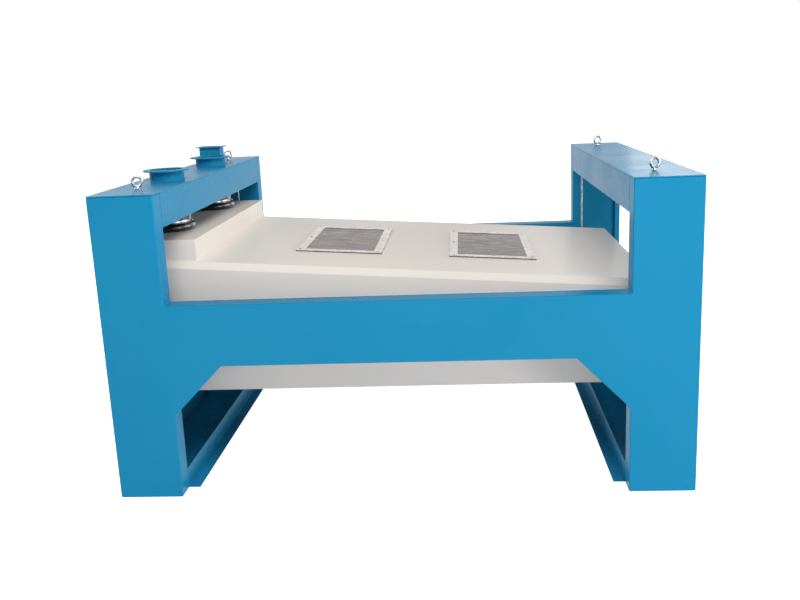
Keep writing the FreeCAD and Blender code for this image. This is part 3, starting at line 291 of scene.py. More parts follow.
def turned_profile(bm, points, centre, steps=48, axis=UP):
    """Surface of revolution of radius and height points about an axis through a centre."""
    turn = axis.to_track_quat("Z", "Y").to_matrix()
    rings = []
    for radius, height in points:
        if radius < 1e-7:
            rings.append([bm.verts.new(centre + turn @ Vector((0, 0, height)))])
            continue
        ring = [on_circle((0, 0), radius, 2 * math.pi * i / steps, height) for i in range(steps)]
        rings.append([bm.verts.new(centre + turn @ spot) for spot in ring])
    for lower, upper in zip(rings, rings[1:]):
        for i in range(steps):
            j = (i + 1) % steps
            corners = [lower[i % len(lower)], lower[j % len(lower)],
                       upper[j % len(upper)], upper[i % len(upper)]]
            unique = list(dict.fromkeys(corners))
            if len(unique) > 2:
                bm.faces.new(unique)
    bmesh.ops.recalc_face_normals(bm, faces=bm.faces)


def tube_along(bm, points, radius, sides=12, closed=False):
    """Round tube along a list of points, with its ends capped unless it is closed."""
    count = len(points)
    rings = []
    normal = None
    for i, point in enumerate(points):
        before = points[(i - 1) % count] if closed or i > 0 else point
        after = points[(i + 1) % count] if closed or i < count - 1 else point
        along = (after - before).normalized()
        if normal is None:
            normal = along.orthogonal().normalized()
        normal = (normal - along * normal.dot(along)).normalized()
        side = along.cross(normal)
        ring = []
        for k in range(sides):
            angle = 2 * math.pi * k / sides
            spoke = normal * math.cos(angle) + side * math.sin(angle)
            ring.append(bm.verts.new(point + radius * spoke))
        rings.append(ring)
    bridge(bm, rings, closed)
    if not closed:
        bm.faces.new(list(reversed(rings[0])))
        bm.faces.new(rings[-1])


def extruded(bm, outline, y0, y1):
    """Closed prism from an outline in X and Z between two places along Y."""
    near = [bm.verts.new((x, y0, z)) for x, z in outline]
    far = [bm.verts.new((x, y1, z)) for x, z in outline]
    bm.faces.new(near)
    bm.faces.new(list(reversed(far)))
    for i in range(len(outline)):
        j = (i + 1) % len(outline)
        bm.faces.new((near[j], near[i], far[i], far[j]))
    bmesh.ops.recalc_face_normals(bm, faces=bm.faces)


# Materials

def coordinates(tree, scale=(1.0, 1.0, 1.0), turn=(0.0, 0.0, 0.0)):
    """Object coordinates in metres, stretched and turned by a Mapping node."""
    source = add_node(tree, "ShaderNodeTexCoord")
    return add_node(tree, "ShaderNodeMapping", Vector=source.outputs["Object"], Scale=scale,
                    Rotation=turn).outputs[0]


def noise(tree, vector, size_mm, detail=3.0, roughness=0.5):
    """Noise whose main spots are about one size across."""
    return add_node(tree, "ShaderNodeTexNoise", Vector=vector, Scale=1000.0 / size_mm, Detail=detail,
                    Roughness=roughness).outputs["Fac"]


def ramp(tree, factor, stops):
    """Colour ramp from places and their colours, each sRGB hex or linear."""
    node = add_node(tree, "ShaderNodeValToRGB", Fac=factor)
    elements = node.color_ramp.elements
    while len(elements) < len(stops):
        elements.new(0.5)
    for element, (place, value) in zip(elements, stops):
        element.position = place
        element.color = colour(value) if isinstance(value, str) else value
    return node.outputs["Color"]


def spread(tree, factor, low, high, start=0.0, end=1.0):
    """Map a factor from one range onto another."""
    return add_node(tree, "ShaderNodeMapRange", Value=factor, From_Min=start, From_Max=end,
                    To_Min=low, To_Max=high).outputs[0]


def mix(tree, factor, first, second):
    """Mix two colours."""
    return add_node(tree, "ShaderNodeMix", {"data_type": "RGBA"}, i0=factor, i6=first, i7=second).outputs[2]


def bump(tree, height, strength, depth_mm, below=None):
    """Relief of a real depth."""
    extra = {"Normal": below} if below else {}
    return add_node(tree, "ShaderNodeBump", Height=height, Strength=strength, Distance=depth_mm * MM,
                    **extra).outputs[0]


def join(tree, shader, **values):
    """Feed a shader's sockets by name."""
    for key, value in values.items():
        feed(tree, shader.inputs[key.replace("_", " ")], value)


def material(name, **values):
    """A material with its main shader's constants set on the shader's own sockets."""
    made = bpy.data.materials.new(name)
    made.use_nodes = True
    tree = made.node_tree
    shader = tree.nodes["Principled BSDF"]
    join(tree, shader, **values)
    return made, tree, shader


def sprayed_enamel(name, base, spread_tone, roughness, coat, dust):
    """Alkyd enamel sprayed on folded steel sheet: an even film with slow changes of tone, a shallow
    orange peel drawn at 26 mm, sheet that is not quite flat, and a haze of dust that leaves only a
    faint gloss."""
    made, tree, shader = material(name, IOR=1.4, Specular_IOR_Level=0.03, Coat_Weight=coat,
                                  Coat_Roughness=0.1, Coat_IOR=1.3)
    place = coordinates(tree)
    clouds = noise(tree, place, 700.0, 2.0)
    haze = noise(tree, place, 330.0)
    darker = (*(c * (1 - spread_tone) for c in base), 1.0)
    lighter = (*(min(1.0, c * (1 + spread_tone)) for c in base), 1.0)
    tone = ramp(tree, clouds, [(0.2, darker), (0.8, lighter)])
    tone = mix(tree, spread(tree, haze, 0.0, dust, 0.2, 0.85), tone, colour("#c4beb4"))
    gloss = spread(tree, haze, roughness * 0.85, roughness * 1.2, 0.2, 0.8)
    peel = noise(tree, place, 26.0, 1.0)
    waves = noise(tree, place, 420.0, 1.0)
    relief = bump(tree, waves, 0.25, 1.0, bump(tree, peel, 0.05, 0.05))
    join(tree, shader, Base_Color=tone, Roughness=gloss, Normal=relief)
    return made


def clear_acrylic():
    """Cast acrylic sheet under rubbed dust: hardly clear, its brown-grey a painted shade that stands for
    the dark space below, with a soft gloss and the white smears that a peeled protective film leaves."""
    made, tree, shader = material("cast acrylic sheet, dusty, with painted shade", IOR=1.49, Specular_IOR_Level=0.1,
                                  Coat_Weight=0.1, Coat_Roughness=0.06, Transmission_Weight=0.06)
    place = coordinates(tree)
    smear = noise(tree, coordinates(tree, (0.5, 1.6, 1.0), (0.0, 0.0, 0.5)), 60.0, 5.0, 0.65)
    cloud = noise(tree, place, 190.0)
    # Painted shade: this ramp's dark brown-grey stands for the dark space under the pane
    tone = ramp(tree, cloud, [(0.3, "#4f4340"), (0.7, "#645653")])
    tone = mix(tree, spread(tree, smear, 0.0, 0.5, 0.54, 0.8), tone, colour("#b4aeab"))
    gloss = spread(tree, smear, 0.12, 0.5, 0.35, 0.75)
    join(tree, shader, Base_Color=tone, Roughness=gloss, Normal=bump(tree, cloud, 0.2, 0.6))
    return made


def filmed_aluminium():
    """Flat aluminium strip still under its cloudy protective film: pale grey with a warm cast, with
    white smears that are partly where the film has lifted and partly painted highlights."""
    made, tree, shader = material("aluminium strip under clouded film", Metallic=0.15, Coat_Weight=0.3,
                                  Coat_Roughness=0.08)
    smear = noise(tree, coordinates(tree), 70.0, 3.0, 0.6)
    # The whitest stop is partly film smear and partly painted highlight along the strip
    tone = ramp(tree, smear, [(0.34, "#b4aaa2"), (0.52, "#cdc5be"), (0.7, "#f2efeb")])
    join(tree, shader, Base_Color=tone, Roughness=spread(tree, smear, 0.14, 0.46, 0.3, 0.7),
         Normal=bump(tree, smear, 0.2, 0.4))
    return made


def zinc_plate():
    """Zinc plate on small turned, forged and pressed steel parts: grey silver with faint cloudy stains."""
    made, tree, shader = material("zinc plated steel", Metallic=1.0)
    stain = noise(tree, coordinates(tree), 9.0, 4.0, 0.6)
    tone = ramp(tree, stain, [(0.35, "#7d8284"), (0.62, "#c2c6c7")])
    join(tree, shader, Base_Color=tone, Roughness=spread(tree, stain, 0.16, 0.32, 0.3, 0.7))
    return made


def galvanised_wire():
    """Drawn and galvanised rope wire: dull silver with darker grease in the lays."""
    made, tree, shader = material("galvanised steel wire", Metallic=1.0)
    grease = noise(tree, coordinates(tree, (1.0, 1.0, 0.5)), 14.0, 4.0)
    tone = ramp(tree, grease, [(0.35, "#767b7d"), (0.65, "#bcc0c0")])
    join(tree, shader, Base_Color=tone, Roughness=spread(tree, grease, 0.3, 0.5, 0.3, 0.7))
    return made


def moulded_rubber():
    """Moulded EPDM rubber with a glossy skin: near black, with soft bright edges and a bloom of dust."""
    made, tree, shader = material("moulded EPDM rubber", IOR=1.52, Coat_Weight=0.8, Coat_Roughness=0.08)
    bloom = noise(tree, coordinates(tree), 45.0, 4.0, 0.6)
    fine = noise(tree, coordinates(tree), 6.0, 2.0)
    tone = ramp(tree, bloom, [(0.35, "#0b0d10"), (0.75, "#1d2227")])
    join(tree, shader, Base_Color=tone, Roughness=spread(tree, bloom, 0.16, 0.38, 0.3, 0.75),
         Normal=bump(tree, fine, 0.15, 0.2))
    return made


def belt_fabric():
    """Fabric-faced V-belt rubber: matt black with a fine woven wrap, drawn at 3 mm so that it shows."""
    made, tree, shader = material("fabric faced belt rubber", IOR=1.5)
    place = coordinates(tree)
    weave = add_node(tree, "ShaderNodeTexChecker", Vector=place, Scale=1000.0 / 3.0).outputs["Fac"]
    tone = mix(tree, spread(tree, weave, 0.0, 0.6), colour("#101112"), colour("#25272a"))
    join(tree, shader, Base_Color=tone, Roughness=spread(tree, noise(tree, place, 30.0), 0.6, 0.85),
         Normal=bump(tree, weave, 0.3, 0.2))
    return made


def natural_rubber():
    """Pressed natural rubber: tan, soft sheen, dusted with flour."""
    made, tree, shader = material("pressed natural rubber", IOR=1.52)
    dust = noise(tree, coordinates(tree), 12.0, 4.0)
    tone = ramp(tree, dust, [(0.35, "#96805c"), (0.7, "#cdbb9b")])
    join(tree, shader, Base_Color=tone, Roughness=spread(tree, dust, 0.5, 0.8),
         Normal=bump(tree, dust, 0.2, 0.3))
    return made


def machined_steel():
    """Turned and ground steel: fine rings left by the tool, drawn at 2 mm so that they show."""
    made, tree, shader = material("turned carbon steel", Metallic=1.0, Anisotropic=0.4)
    lines = noise(tree, coordinates(tree, (0.02, 0.02, 1.0)), 2.0, 2.0)
    tone = ramp(tree, lines, [(0.3, "#8c8f92"), (0.7, "#b9bcbe")])
    join(tree, shader, Base_Color=tone, Roughness=spread(tree, lines, 0.2, 0.38),
         Normal=bump(tree, lines, 0.2, 0.05))
    return made


def cast_iron():
    """Grey iron casting in dark primer: sandy skin with a grain of about 2 mm and oily patches."""
    made, tree, shader = material("primed grey iron casting", IOR=1.5, Metallic=0.15)
    place = coordinates(tree)
    sand = noise(tree, place, 2.2, 3.0, 0.7)
    oil = noise(tree, place, 70.0, 4.0, 0.6)
    tone = ramp(tree, oil, [(0.34, "#30363a"), (0.7, "#4b5357")])
    join(tree, shader, Base_Color=tone, Roughness=spread(tree, oil, 0.35, 0.7, 0.3, 0.7),
         Normal=bump(tree, sand, 0.5, 0.35))
    return made


def spruce():
    """Planed spruce boards: long grain along the machine, growth rings about 6 mm apart."""
    made, tree, shader = material("planed spruce", IOR=1.5)
    along = coordinates(tree, (0.06, 1.0, 1.0))
    rings = noise(tree, along, 6.0, 4.0, 0.6)
    boards = noise(tree, coordinates(tree, (0.3, 1.0, 1.0)), 120.0, 2.0)
    tone = ramp(tree, rings, [(0.3, "#a98455"), (0.52, "#cfae7c"), (0.75, "#dcc194")])
    tone = mix(tree, spread(tree, boards, 0.0, 0.35), tone, colour("#b08d60"))
    join(tree, shader, Base_Color=tone, Roughness=spread(tree, rings, 0.5, 0.68),
         Normal=bump(tree, rings, 0.25, 0.3))
    return made


def perforated_sheet():
    """Punched steel sieve sheet: round holes of 6 mm at a pitch of 12 mm, drawn at twice the real
    size so that they show, with painted shade where the hole looks through."""
    made, tree, shader = material("punched steel sieve sheet", Metallic=0.85)
    place = coordinates(tree)
    cells = add_node(tree, "ShaderNodeTexVoronoi", {"voronoi_dimensions": "2D"}, Vector=place,
                     Scale=1000.0 / 12.0, Randomness=0.0).outputs["Distance"]
    hole = ramp(tree, cells, [(0.24, "#000000"), (0.3, "#ffffff")])
    grime = noise(tree, place, 90.0, 4.0)
    steel = ramp(tree, grime, [(0.3, "#8f8c84"), (0.7, "#b5b3ad")])
    # Painted shade: each hole is near black for the dark space seen through it
    tone = mix(tree, hole, colour("#17150f"), steel)
    join(tree, shader, Base_Color=tone, Roughness=spread(tree, grime, 0.3, 0.5),
         Normal=bump(tree, hole, 0.5, 0.8))
    return made


def rolled_sheet():
    """Bright rolled steel polished by grain: long scratches along the flow."""
    made, tree, shader = material("grain polished steel sheet", Metallic=1.0)
    scratch = noise(tree, coordinates(tree, (0.05, 1.0, 1.0)), 5.0, 4.0, 0.65)
    tone = ramp(tree, scratch, [(0.3, "#8a8984"), (0.7, "#bdbbb5")])
    join(tree, shader, Base_Color=tone, Roughness=spread(tree, scratch, 0.25, 0.45),
         Normal=bump(tree, scratch, 0.2, 0.1))
    return made


class Finishes:
    """Every finish, made once from the chosen colours."""

    def __init__(self, paints):
        self.blue = sprayed_enamel("blue alkyd enamel on steel sheet", paints.stand_blue,
                                   0.03, 0.27, 0.04, 0.01)
        self.white = sprayed_enamel("warm white alkyd enamel on steel sheet", paints.body_white,
                                    0.015, 0.38, 0.06, 0.05)
        self.grey = sprayed_enamel("grey blue machine enamel", paints.drive_grey, 0.06, 0.4, 0.2, 0.15)
        self.acrylic = clear_acrylic()
        self.strip = filmed_aluminium()
        self.zinc = zinc_plate()
        self.wire = galvanised_wire()
        self.rubber = moulded_rubber()
        self.belt = belt_fabric()
        self.ball = natural_rubber()
        self.turned = machined_steel()
        self.iron = cast_iron()
        self.wood = spruce()
        self.screen = perforated_sheet()
        self.sheet = rolled_sheet()


_finishes = []


def finishes():
    """The finishes, made the first time they are asked for."""
    if not _finishes:
        _finishes.append(Finishes(bpy.context.scene.cleaner_paints))
    return _finishes[0]


# Repeated parts by Geometry Nodes

def socket_id(tree, name):
    """Identifier of a tree's input."""
    for item in tree.interface.items_tree:
        if item.item_type == "SOCKET" and item.in_out == "INPUT" and item.name == name:
            return item.identifier
    raise RuntimeError("no input " + name)


def scatter_tree(name):
    """Tree that puts one shape on every point of a cloud, turned by the points' stored direction."""
    tree = bpy.data.node_groups.new(name, "GeometryNodeTree")
    for label, kind in (("Geometry", "Geometry"), ("Shape", "Object"), ("Size", "Float"),
                        ("Turn spread", "Float"), ("Seed", "Int"), ("Finish", "Material")):
        tree.interface.new_socket(label, in_out="INPUT", socket_type="NodeSocket" + kind)
    tree.interface.new_socket("Geometry", in_out="OUTPUT", socket_type="NodeSocketGeometry")
    given = add_node(tree, "NodeGroupInput").outputs
    shape = add_node(tree, "GeometryNodeObjectInfo", {"transform_space": "ORIGINAL"}, Object=given["Shape"])
    facing = add_node(tree, "GeometryNodeInputNamedAttribute", {"data_type": "FLOAT_VECTOR"}, Name="facing")
    align = add_node(tree, "FunctionNodeAlignRotationToVector", {"axis": "Z"},
                     Vector=facing.outputs["Attribute"])
    chance = add_node(tree, "FunctionNodeRandomValue", {"data_type": "FLOAT"}, Seed=given["Seed"])
    angle = add_node(tree, "ShaderNodeMath", {"operation": "MULTIPLY"}, i0=chance.outputs[1],
                     i1=given["Turn spread"])
    spin = add_node(tree, "FunctionNodeAxisAngleToRotation", Axis=(0.0, 0.0, 1.0), Angle=angle.outputs[0])
    turn = add_node(tree, "FunctionNodeRotateRotation", {"rotation_space": "LOCAL"},
                    Rotation=align.outputs[0], Rotate_By=spin.outputs[0])
    placed = add_node(tree, "GeometryNodeInstanceOnPoints", Points=given["Geometry"],
                      Instance=shape.outputs["Geometry"], Rotation=turn.outputs[0], Scale=given["Size"])
    real = add_node(tree, "GeometryNodeRealizeInstances", Geometry=placed.outputs[0])
    finish = add_node(tree, "GeometryNodeSetMaterial", Geometry=real.outputs[0], Material=given["Finish"])
    add_node(tree, "NodeGroupOutput", Geometry=finish.outputs[0])
    return tree


def scattered(name, shape, places, finish, seed=7):
    """One mesh of like parts: a shape put at each place, its Z axis along the place's facing, and
    turned about it by chance."""
    mesh = bpy.data.meshes.new(name)
    mesh.from_pydata([tuple(p) for p, _ in places], [], [])
    facing = mesh.attributes.new("facing", "FLOAT_VECTOR", "POINT")
    for i, (_, direction) in enumerate(places):
        facing.data[i].vector = tuple(direction)
    cloud = new_object(name, mesh)
    tree = bpy.data.node_groups.get("parts on points") or scatter_tree("parts on points")
    modifier = cloud.modifiers.new("parts", "NODES")
    modifier.node_group = tree
    for key, value in (("Shape", shape), ("Size", 1.0), ("Turn spread", FULL_TURN), ("Seed", seed),
                       ("Finish", finish)):
        modifier[socket_id(tree, key)] = value
    applied(cloud)
    wear(cloud.data, finish)
    for face in cloud.data.polygons:
        face.material_index = 0
    shade(cloud.data)
    bpy.data.objects.remove(shape)
    return cloud


def hex_bolt_shape(across, height, washer=True):
    """Hexagon bolt head with a chamfered top on a plain washer, its seat at the origin."""
    bm = bmesh.new()
    corner = across / math.sqrt(3)
    seat = height * 0.22 if washer else 0.0
    if washer:
        turned_profile(bm, [(0, 0), (corner * 1.25, 0), (corner * 1.25, seat), (0, seat)], Vector(), 20)
    rings = []
    for radius, z in ((corner, seat), (corner, seat + height * 0.86), (corner * 0.86, seat + height)):
        rings.append([bm.verts.new(on_circle((0, 0), radius, math.radians(60 * i), z)) for i in range(6)])
    bridge(bm, rings)
    bm.faces.new(rings[-1])
    bm.faces.new(list(reversed(rings[0])))
    return finish_mesh(bm, "hex bolt shape")


def pan_screw_shape(radius, height):
    """Domed screw head with a cross recess on a thin washer, its seat at the origin."""
    bm = bmesh.new()
    steps = [(0.0, 0.0), (radius * 1.3, 0.0), (radius * 1.3, height * 0.18), (radius, height * 0.2)]
    for i in range(1, 6):
        angle = math.pi / 2 * i / 6
        steps.append((radius * math.cos(angle), height * (0.2 + 0.8 * math.sin(angle))))
    steps.append((0.0, height))
    turned_profile(bm, steps, Vector(), 24)
    for turn in (0.0, math.pi / 2):
        bar = bmesh.ops.create_cube(bm, size=1.0)["verts"]
        bmesh.ops.transform(bm, verts=bar, matrix=Matrix.Rotation(turn, 4, "Z") @ Matrix.Diagonal(
            (radius * 0.95, radius * 0.2, height * 0.12, 1.0)))
        bmesh.ops.translate(bm, verts=bar, vec=(0, 0, height * 0.99))
    return finish_mesh(bm, "pan screw shape")


# Properties

def paint_property(name, description, tone):
    """A paint's colour that a user can change."""
    return bpy.props.FloatVectorProperty(name=name, description=description, subtype="COLOR", size=3,
                                         min=0.0, max=1.0, default=colour(tone)[:3])


def length_property(name, description, default, least, most):
    """A length that a user can change between limits."""
    return bpy.props.FloatProperty(name=name, description=description, default=default, min=least,
                                   max=most, unit="LENGTH")


class CleanerPaints(bpy.types.PropertyGroup):
    stand_blue: paint_property("Stand blue", "Enamel on the stand and its spouts", "#1a84b0")
    body_white: paint_property("Body white", "Enamel on the sieve body", "#e6e0da")
    drive_grey: paint_property("Drive grey", "Enamel on the base frame and the motor", "#5f6d78")


class CleanerSizes(bpy.types.PropertyGroup):
    stand_edge: length_property("Stand edge", "Radius of the stand's folded edges", 0.007, 0.001, 0.02)
    sheet_edge: length_property("Sheet edge", "Radius of the sieve body's folded edges",
                                0.0025, 0.0005, 0.01)
    weld_width: length_property("Weld width", "Width of the fillet welds round the spouts",
                                0.006, 0.002, 0.012)
    screw_radius: length_property("Screw radius", "Radius of the window screws' heads",
                                  0.0085, 0.003, 0.015)
    rope_strand: length_property("Strand radius", "Radius of one of the six strands of a rope",
                                 0.0021, 0.001, 0.004)
    rope_lay: length_property("Rope lay", "Length in which a strand goes once round its rope",
                              0.084, 0.03, 0.2)


class CleanerView(bpy.types.PropertyGroup):
    place: bpy.props.FloatVectorProperty(
        name="Camera place", description="Where the camera stands", subtype="XYZ", unit="LENGTH", size=3,
        default=(0.34605, -5.59036, 2.06402))
    yaw: bpy.props.FloatProperty(
        name="Yaw", description="Turn of the camera from straight along +Y", subtype="ANGLE", default=-0.0721)
    pitch: bpy.props.FloatProperty(
        name="Pitch", description="Tilt of the camera above the level", subtype="ANGLE", default=-0.2304)
    roll: bpy.props.FloatProperty(
        name="Roll", description="Turn of the camera about its own line of sight", subtype="ANGLE",
        default=-0.0434)
    lens: bpy.props.FloatProperty(
        name="Lens", description="Focal length on a 36 mm wide sensor, in millimetres", default=40.763,
        min=10.0, max=200.0)


# Pieces

def side_outline():
    """Outline of one side of the stand in X and Z, from the CAD nodes' own boxes."""
    beam_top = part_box("front_beam")[1].z
    column_low, column_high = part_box("discharge_front_column")
    gusset_low, gusset_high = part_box("discharge_front_gusset")
    inner, outer, top = column_low.x, column_high.x, column_high.z
    right = [(outer, 0.0), (inner, 0.0), (inner, gusset_low.z), (gusset_low.x, gusset_high.z)]
    upper = [(inner, beam_top), (inner, top), (outer, top)]
    mirror = [(-x, z) for x, z in reversed(right)]
    return right + mirror + [(-x, z) for x, z in reversed(upper)] + upper


class CLEANER_OT_side_frames(bpy.types.Operator):
    """Build each long side of the stand as one folded and welded sheet with rounded edges"""
    bl_idname = "cleaner.side_frames"
    bl_label = "Side frames"

    def execute(self, context):
        edge = context.scene.cleaner_sizes.stand_edge
        for side in ("front", "rear"):
            nodes = ["%s_%s_%s" % (end, side, kind) for end in ("feed", "discharge")
                     for kind in ("column", "gusset")] + [side + "_beam"]
            low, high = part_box(side + "_beam")
            bm = bmesh.new()
            extruded(bm, side_outline(), low.y, high.y)
            piece = finish_mesh(bm, side + "_side_frame", finishes().blue, NO_HARD_EDGES)
            rounded(piece, edge, 3)
            stand_for(piece, *nodes)
        return {"FINISHED"}


class CLEANER_OT_end_frames(bpy.types.Operator):
    """Round the edges of the plates, bands, sills, panels and bars of both end frames"""
    bl_idname = "cleaner.end_frames"
    bl_label = "End frames"

    def execute(self, context):
        blue = finishes().blue
        for end in ("feed", "discharge"):
            for kind in ("top_plate", "inner_band", "base_sill", "end_panel"):
                softened("%s_%s" % (end, kind), PLATE_EDGE, blue, 3)
        softened("discharge_outer_band", PLATE_EDGE, blue, 3)
        softened("hanger_bars", BAR_EDGE, blue)
        return {"FINISHED"}


class CLEANER_OT_spouts(bpy.types.Operator):
    """Finish the feed spouts and the aspiration port, with the weld that joins each to its plate"""
    bl_idname = "cleaner.spouts"
    bl_label = "Spouts and port"

    def execute(self, context):
        blue = finishes().blue
        weld = context.scene.cleaner_sizes.weld_width
        softened("feed_spouts", THIN_EDGE, blue)
        paint_node("aspiration_port", blue)
        low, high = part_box("feed_spouts")
        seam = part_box("feed_top_plate")[1].z + weld * 0.15
        reach = (high.x - low.x) / 2
        middle = (low.x + high.x) / 2
        bm = bmesh.new()
        for y in (low.y + reach, high.y - reach):
            points = []
            for i in range(WELD_STEPS):
                angle = 2 * math.pi * i / WELD_STEPS
                ripple = weld * 0.08 * math.sin(WELD_RIPPLES * angle)
                points.append(on_circle((middle, y), SPOUT_RADIUS + ripple, angle, seam))
            tube_along(bm, points, weld * 0.6, 8, True)
        low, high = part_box("aspiration_port")
        left, right = low.x + PORT_INSET, high.x - PORT_INSET
        near, far = low.y + PORT_INSET, high.y - PORT_INSET
        corners = [(left, near), (right, near), (right, far), (left, far)]
        points = []
        for (ax, ay), (bx, by) in zip(corners, corners[1:] + corners[:1]):
            for i in range(24):
                share = i / 24
                points.append(Vector((ax + (bx - ax) * share, ay + (by - ay) * share, seam)))
        tube_along(bm, points, weld * 0.6, 8, True)
        piece = finish_mesh(bm, "spout_welds", blue, angle=60.0)
        ride_like(piece, "feed_spouts")
        return {"FINISHED"}


def forged_ring(bm, middle, turn):
    """Ring of an eyebolt that thickens towards its neck, turned about the bolt's axis."""
    steps, sides = 48, 14
    across = Vector((-math.sin(turn), math.cos(turn), 0))
    sideways = Vector((math.cos(turn), math.sin(turn), 0))
    rings = []
    for i in range(steps):
        angle = 2 * math.pi * i / steps
        swell = 1.0 + 0.35 * max(0.0, -math.sin(angle)) ** 6
        out = sideways * math.cos(angle) + UP * math.sin(angle)
        points = []
        for k in range(sides):
            around = 2 * math.pi * k / sides
            grow = 1.0 if math.cos(around) < 0 else swell
            points.append(bm.verts.new(middle + out * (EYE_RING + EYE_WIRE * grow * math.cos(around))
                                       + across * (EYE_WIRE * swell * math.sin(around))))
        rings.append(points)
    bridge(bm, rings, True)


class CLEANER_OT_eyebolts(bpy.types.Operator):
    """Forge the lifting eyebolts: a ring that swells into its neck, a collar, a shank and a nut"""
    bl_idname = "cleaner.eyebolts"
    bl_label = "Lifting eyebolts"

    def execute(self, context):
        low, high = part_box("feed_top_plate")
        eyes = [Vector(mount["pos_m"]) for mount in frame["record"]["mounts"]
                if mount["name"].endswith("lifting_eye")]
        bm = bmesh.new()
        nut_places = []
        for place, turn in zip(eyes, EYE_TURNS):
            forged_ring(bm, place, math.radians(turn))
            foot = Vector((place.x, place.y, 0))
            turned_profile(bm, raised(EYE_COLLAR, high.z), foot, 36)
            turned_profile(bm, raised(EYE_SHANK, low.z), foot, 24)
            nut_places.append((Vector((place.x, place.y, low.z)), DOWN))
        body = finish_mesh(bm, "forged_eyebolts", finishes().zinc, angle=40.0)
        nuts = scattered("eyebolt_nuts", hex_bolt_shape(*M16_NUT, False), nut_places, finishes().zinc)
        stand_for(body, "lifting_eyebolts")
        ride_like(nuts, "lifting_eyebolts")
        return {"FINISHED"}


class CLEANER_OT_body_sheets(bpy.types.Operator):
    """Round the folds of the sieve body's walls, cover, inlet box, pan and chutes"""
    bl_idname = "cleaner.body_sheets"
    bl_label = "Sieve body sheets"

    def execute(self, context):
        edge = context.scene.cleaner_sizes.sheet_edge
        done = finishes()
        for node in ("front_side_wall", "rear_side_wall", "feed_end_wall", "discharge_end_wall",
                     "top_cover"):
            softened(node, edge * 0.8, done.white)
        softened("inlet_box", edge * 0.6, done.white)
        for node in ("fines_chute", "grain_chute", "coarse_chute"):
            softened(node, THIN_EDGE, done.white)
        softened("feed_baffle", THIN_EDGE, done.sheet)
        softened("fines_pan", FINE_EDGE, done.sheet)
        softened("rope_brackets", MACHINE_EDGE, done.white)
        return {"FINISHED"}


class CLEANER_OT_windows(bpy.types.Operator):
    """Finish the inspection windows and set a cross-head screw at each fixing"""
    bl_idname = "cleaner.windows"
    bl_label = "Inspection windows"

    def execute(self, context):
        done = finishes()
        paint_node("window_panes", done.acrylic)
        softened("window_frames", FINE_EDGE, done.strip)
        radius = context.scene.cleaner_sizes.screw_radius
        places = []
        for low, high in islands("window_screws"):
            middle = (low + high) / 2
            places.append((Vector((middle.x, middle.y, low.z)), cover_normal()))
        shape = pan_screw_shape(radius, radius * 0.7)
        screws = scattered("window_screw_heads", shape, places, done.zinc)
        stand_for(screws, "window_screws")
        return {"FINISHED"}


def islands(node):
    """Boxes of the separate solids in one CAD node."""
    bm = clean_copy(node)
    seen = set()
    found = []
    for start in bm.verts:
        if start in seen:
            continue
        group, queue = [], [start]
        seen.add(start)
        while queue:
            vert = queue.pop()
            group.append(vert.co.copy())
            for edge in vert.link_edges:
                other = edge.other_vert(vert)
                if other not in seen:
                    seen.add(other)
                    queue.append(other)
        low = Vector([min(v[i] for v in group) for i in range(3)])
        high = Vector([max(v[i] for v in group) for i in range(3)])
        found.append((low, high))
    bm.free()
    return found


def cover_normal():
    """Direction square to the sloping cover, which lies in line with the drawers' slides."""
    slide = [j for j in frame["joints"] if j["name"] == "upper_sieve_slide"][0]["axis"]
    along = Vector(slide).normalized()
    return Vector((-along.z, 0.0, along.x)).normalized()


class CLEANER_OT_ropes(bpy.types.Operator):
    """Lay the suspension ropes from six twisted strands, with swaged ends, stops and discs"""
    bl_idname = "cleaner.ropes"
    bl_label = "Wire ropes"

    def execute(self, context):
        done = finishes()
        sizes = context.scene.cleaner_sizes
        strand, lay = sizes.rope_strand, sizes.rope_lay
        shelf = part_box("rope_brackets")[0].z
        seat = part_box("hanger_bars")[1].z + SEAT_GAP
        bottom = shelf + SWAGE_HEIGHT
        turns = (seat - bottom) / lay
        count = int(turns * 14)
        wires = bmesh.new()
        fittings = bmesh.new()
        for low, high in islands("wire_ropes"):
            centre = Vector(((low.x + high.x) / 2, (low.y + high.y) / 2, 0))
            for s in range(STRANDS):
                points = []
                for i in range(count + 1):
                    angle = 2 * math.pi * (turns * i / count + s / STRANDS)
                    height = bottom + (seat - bottom) * i / count
                    points.append(on_circle(centre, STRAND_CIRCLE, angle, height))
                tube_along(wires, points, strand, 6)
            turned_profile(fittings, [
                (0, low.z), (0.0165, low.z), (STOP_RADIUS, low.z + 0.0015), (STOP_RADIUS, shelf - 0.001),
                (0.0175, shelf), (0.01, shelf), (0.01, shelf + 0.104), (0.0095, shelf + 0.11),
                (0.0062, shelf + 0.116), (0, shelf + 0.116)], centre, 32)
            top = seat + DISC_HEIGHT
            disc = (high.x - low.x) / 2
            turned_profile(fittings, [
                (0, seat), (disc - 0.001, seat), (disc, seat + 0.001), (disc, top - 0.001),
                (disc - 0.001, top), (STOP_RADIUS, top), (STOP_RADIUS, top + 0.0155),
                (0.0165, top + 0.017), (0, top + 0.017)], centre, 40)
        ropes = finish_mesh(wires, "rope_strands", done.wire, angle=60.0)
        ends = finish_mesh(fittings, "rope_fittings", done.zinc)
        stand_for(ropes, "wire_ropes")
        ride_like(ends, "wire_ropes")
        return {"FINISHED"}


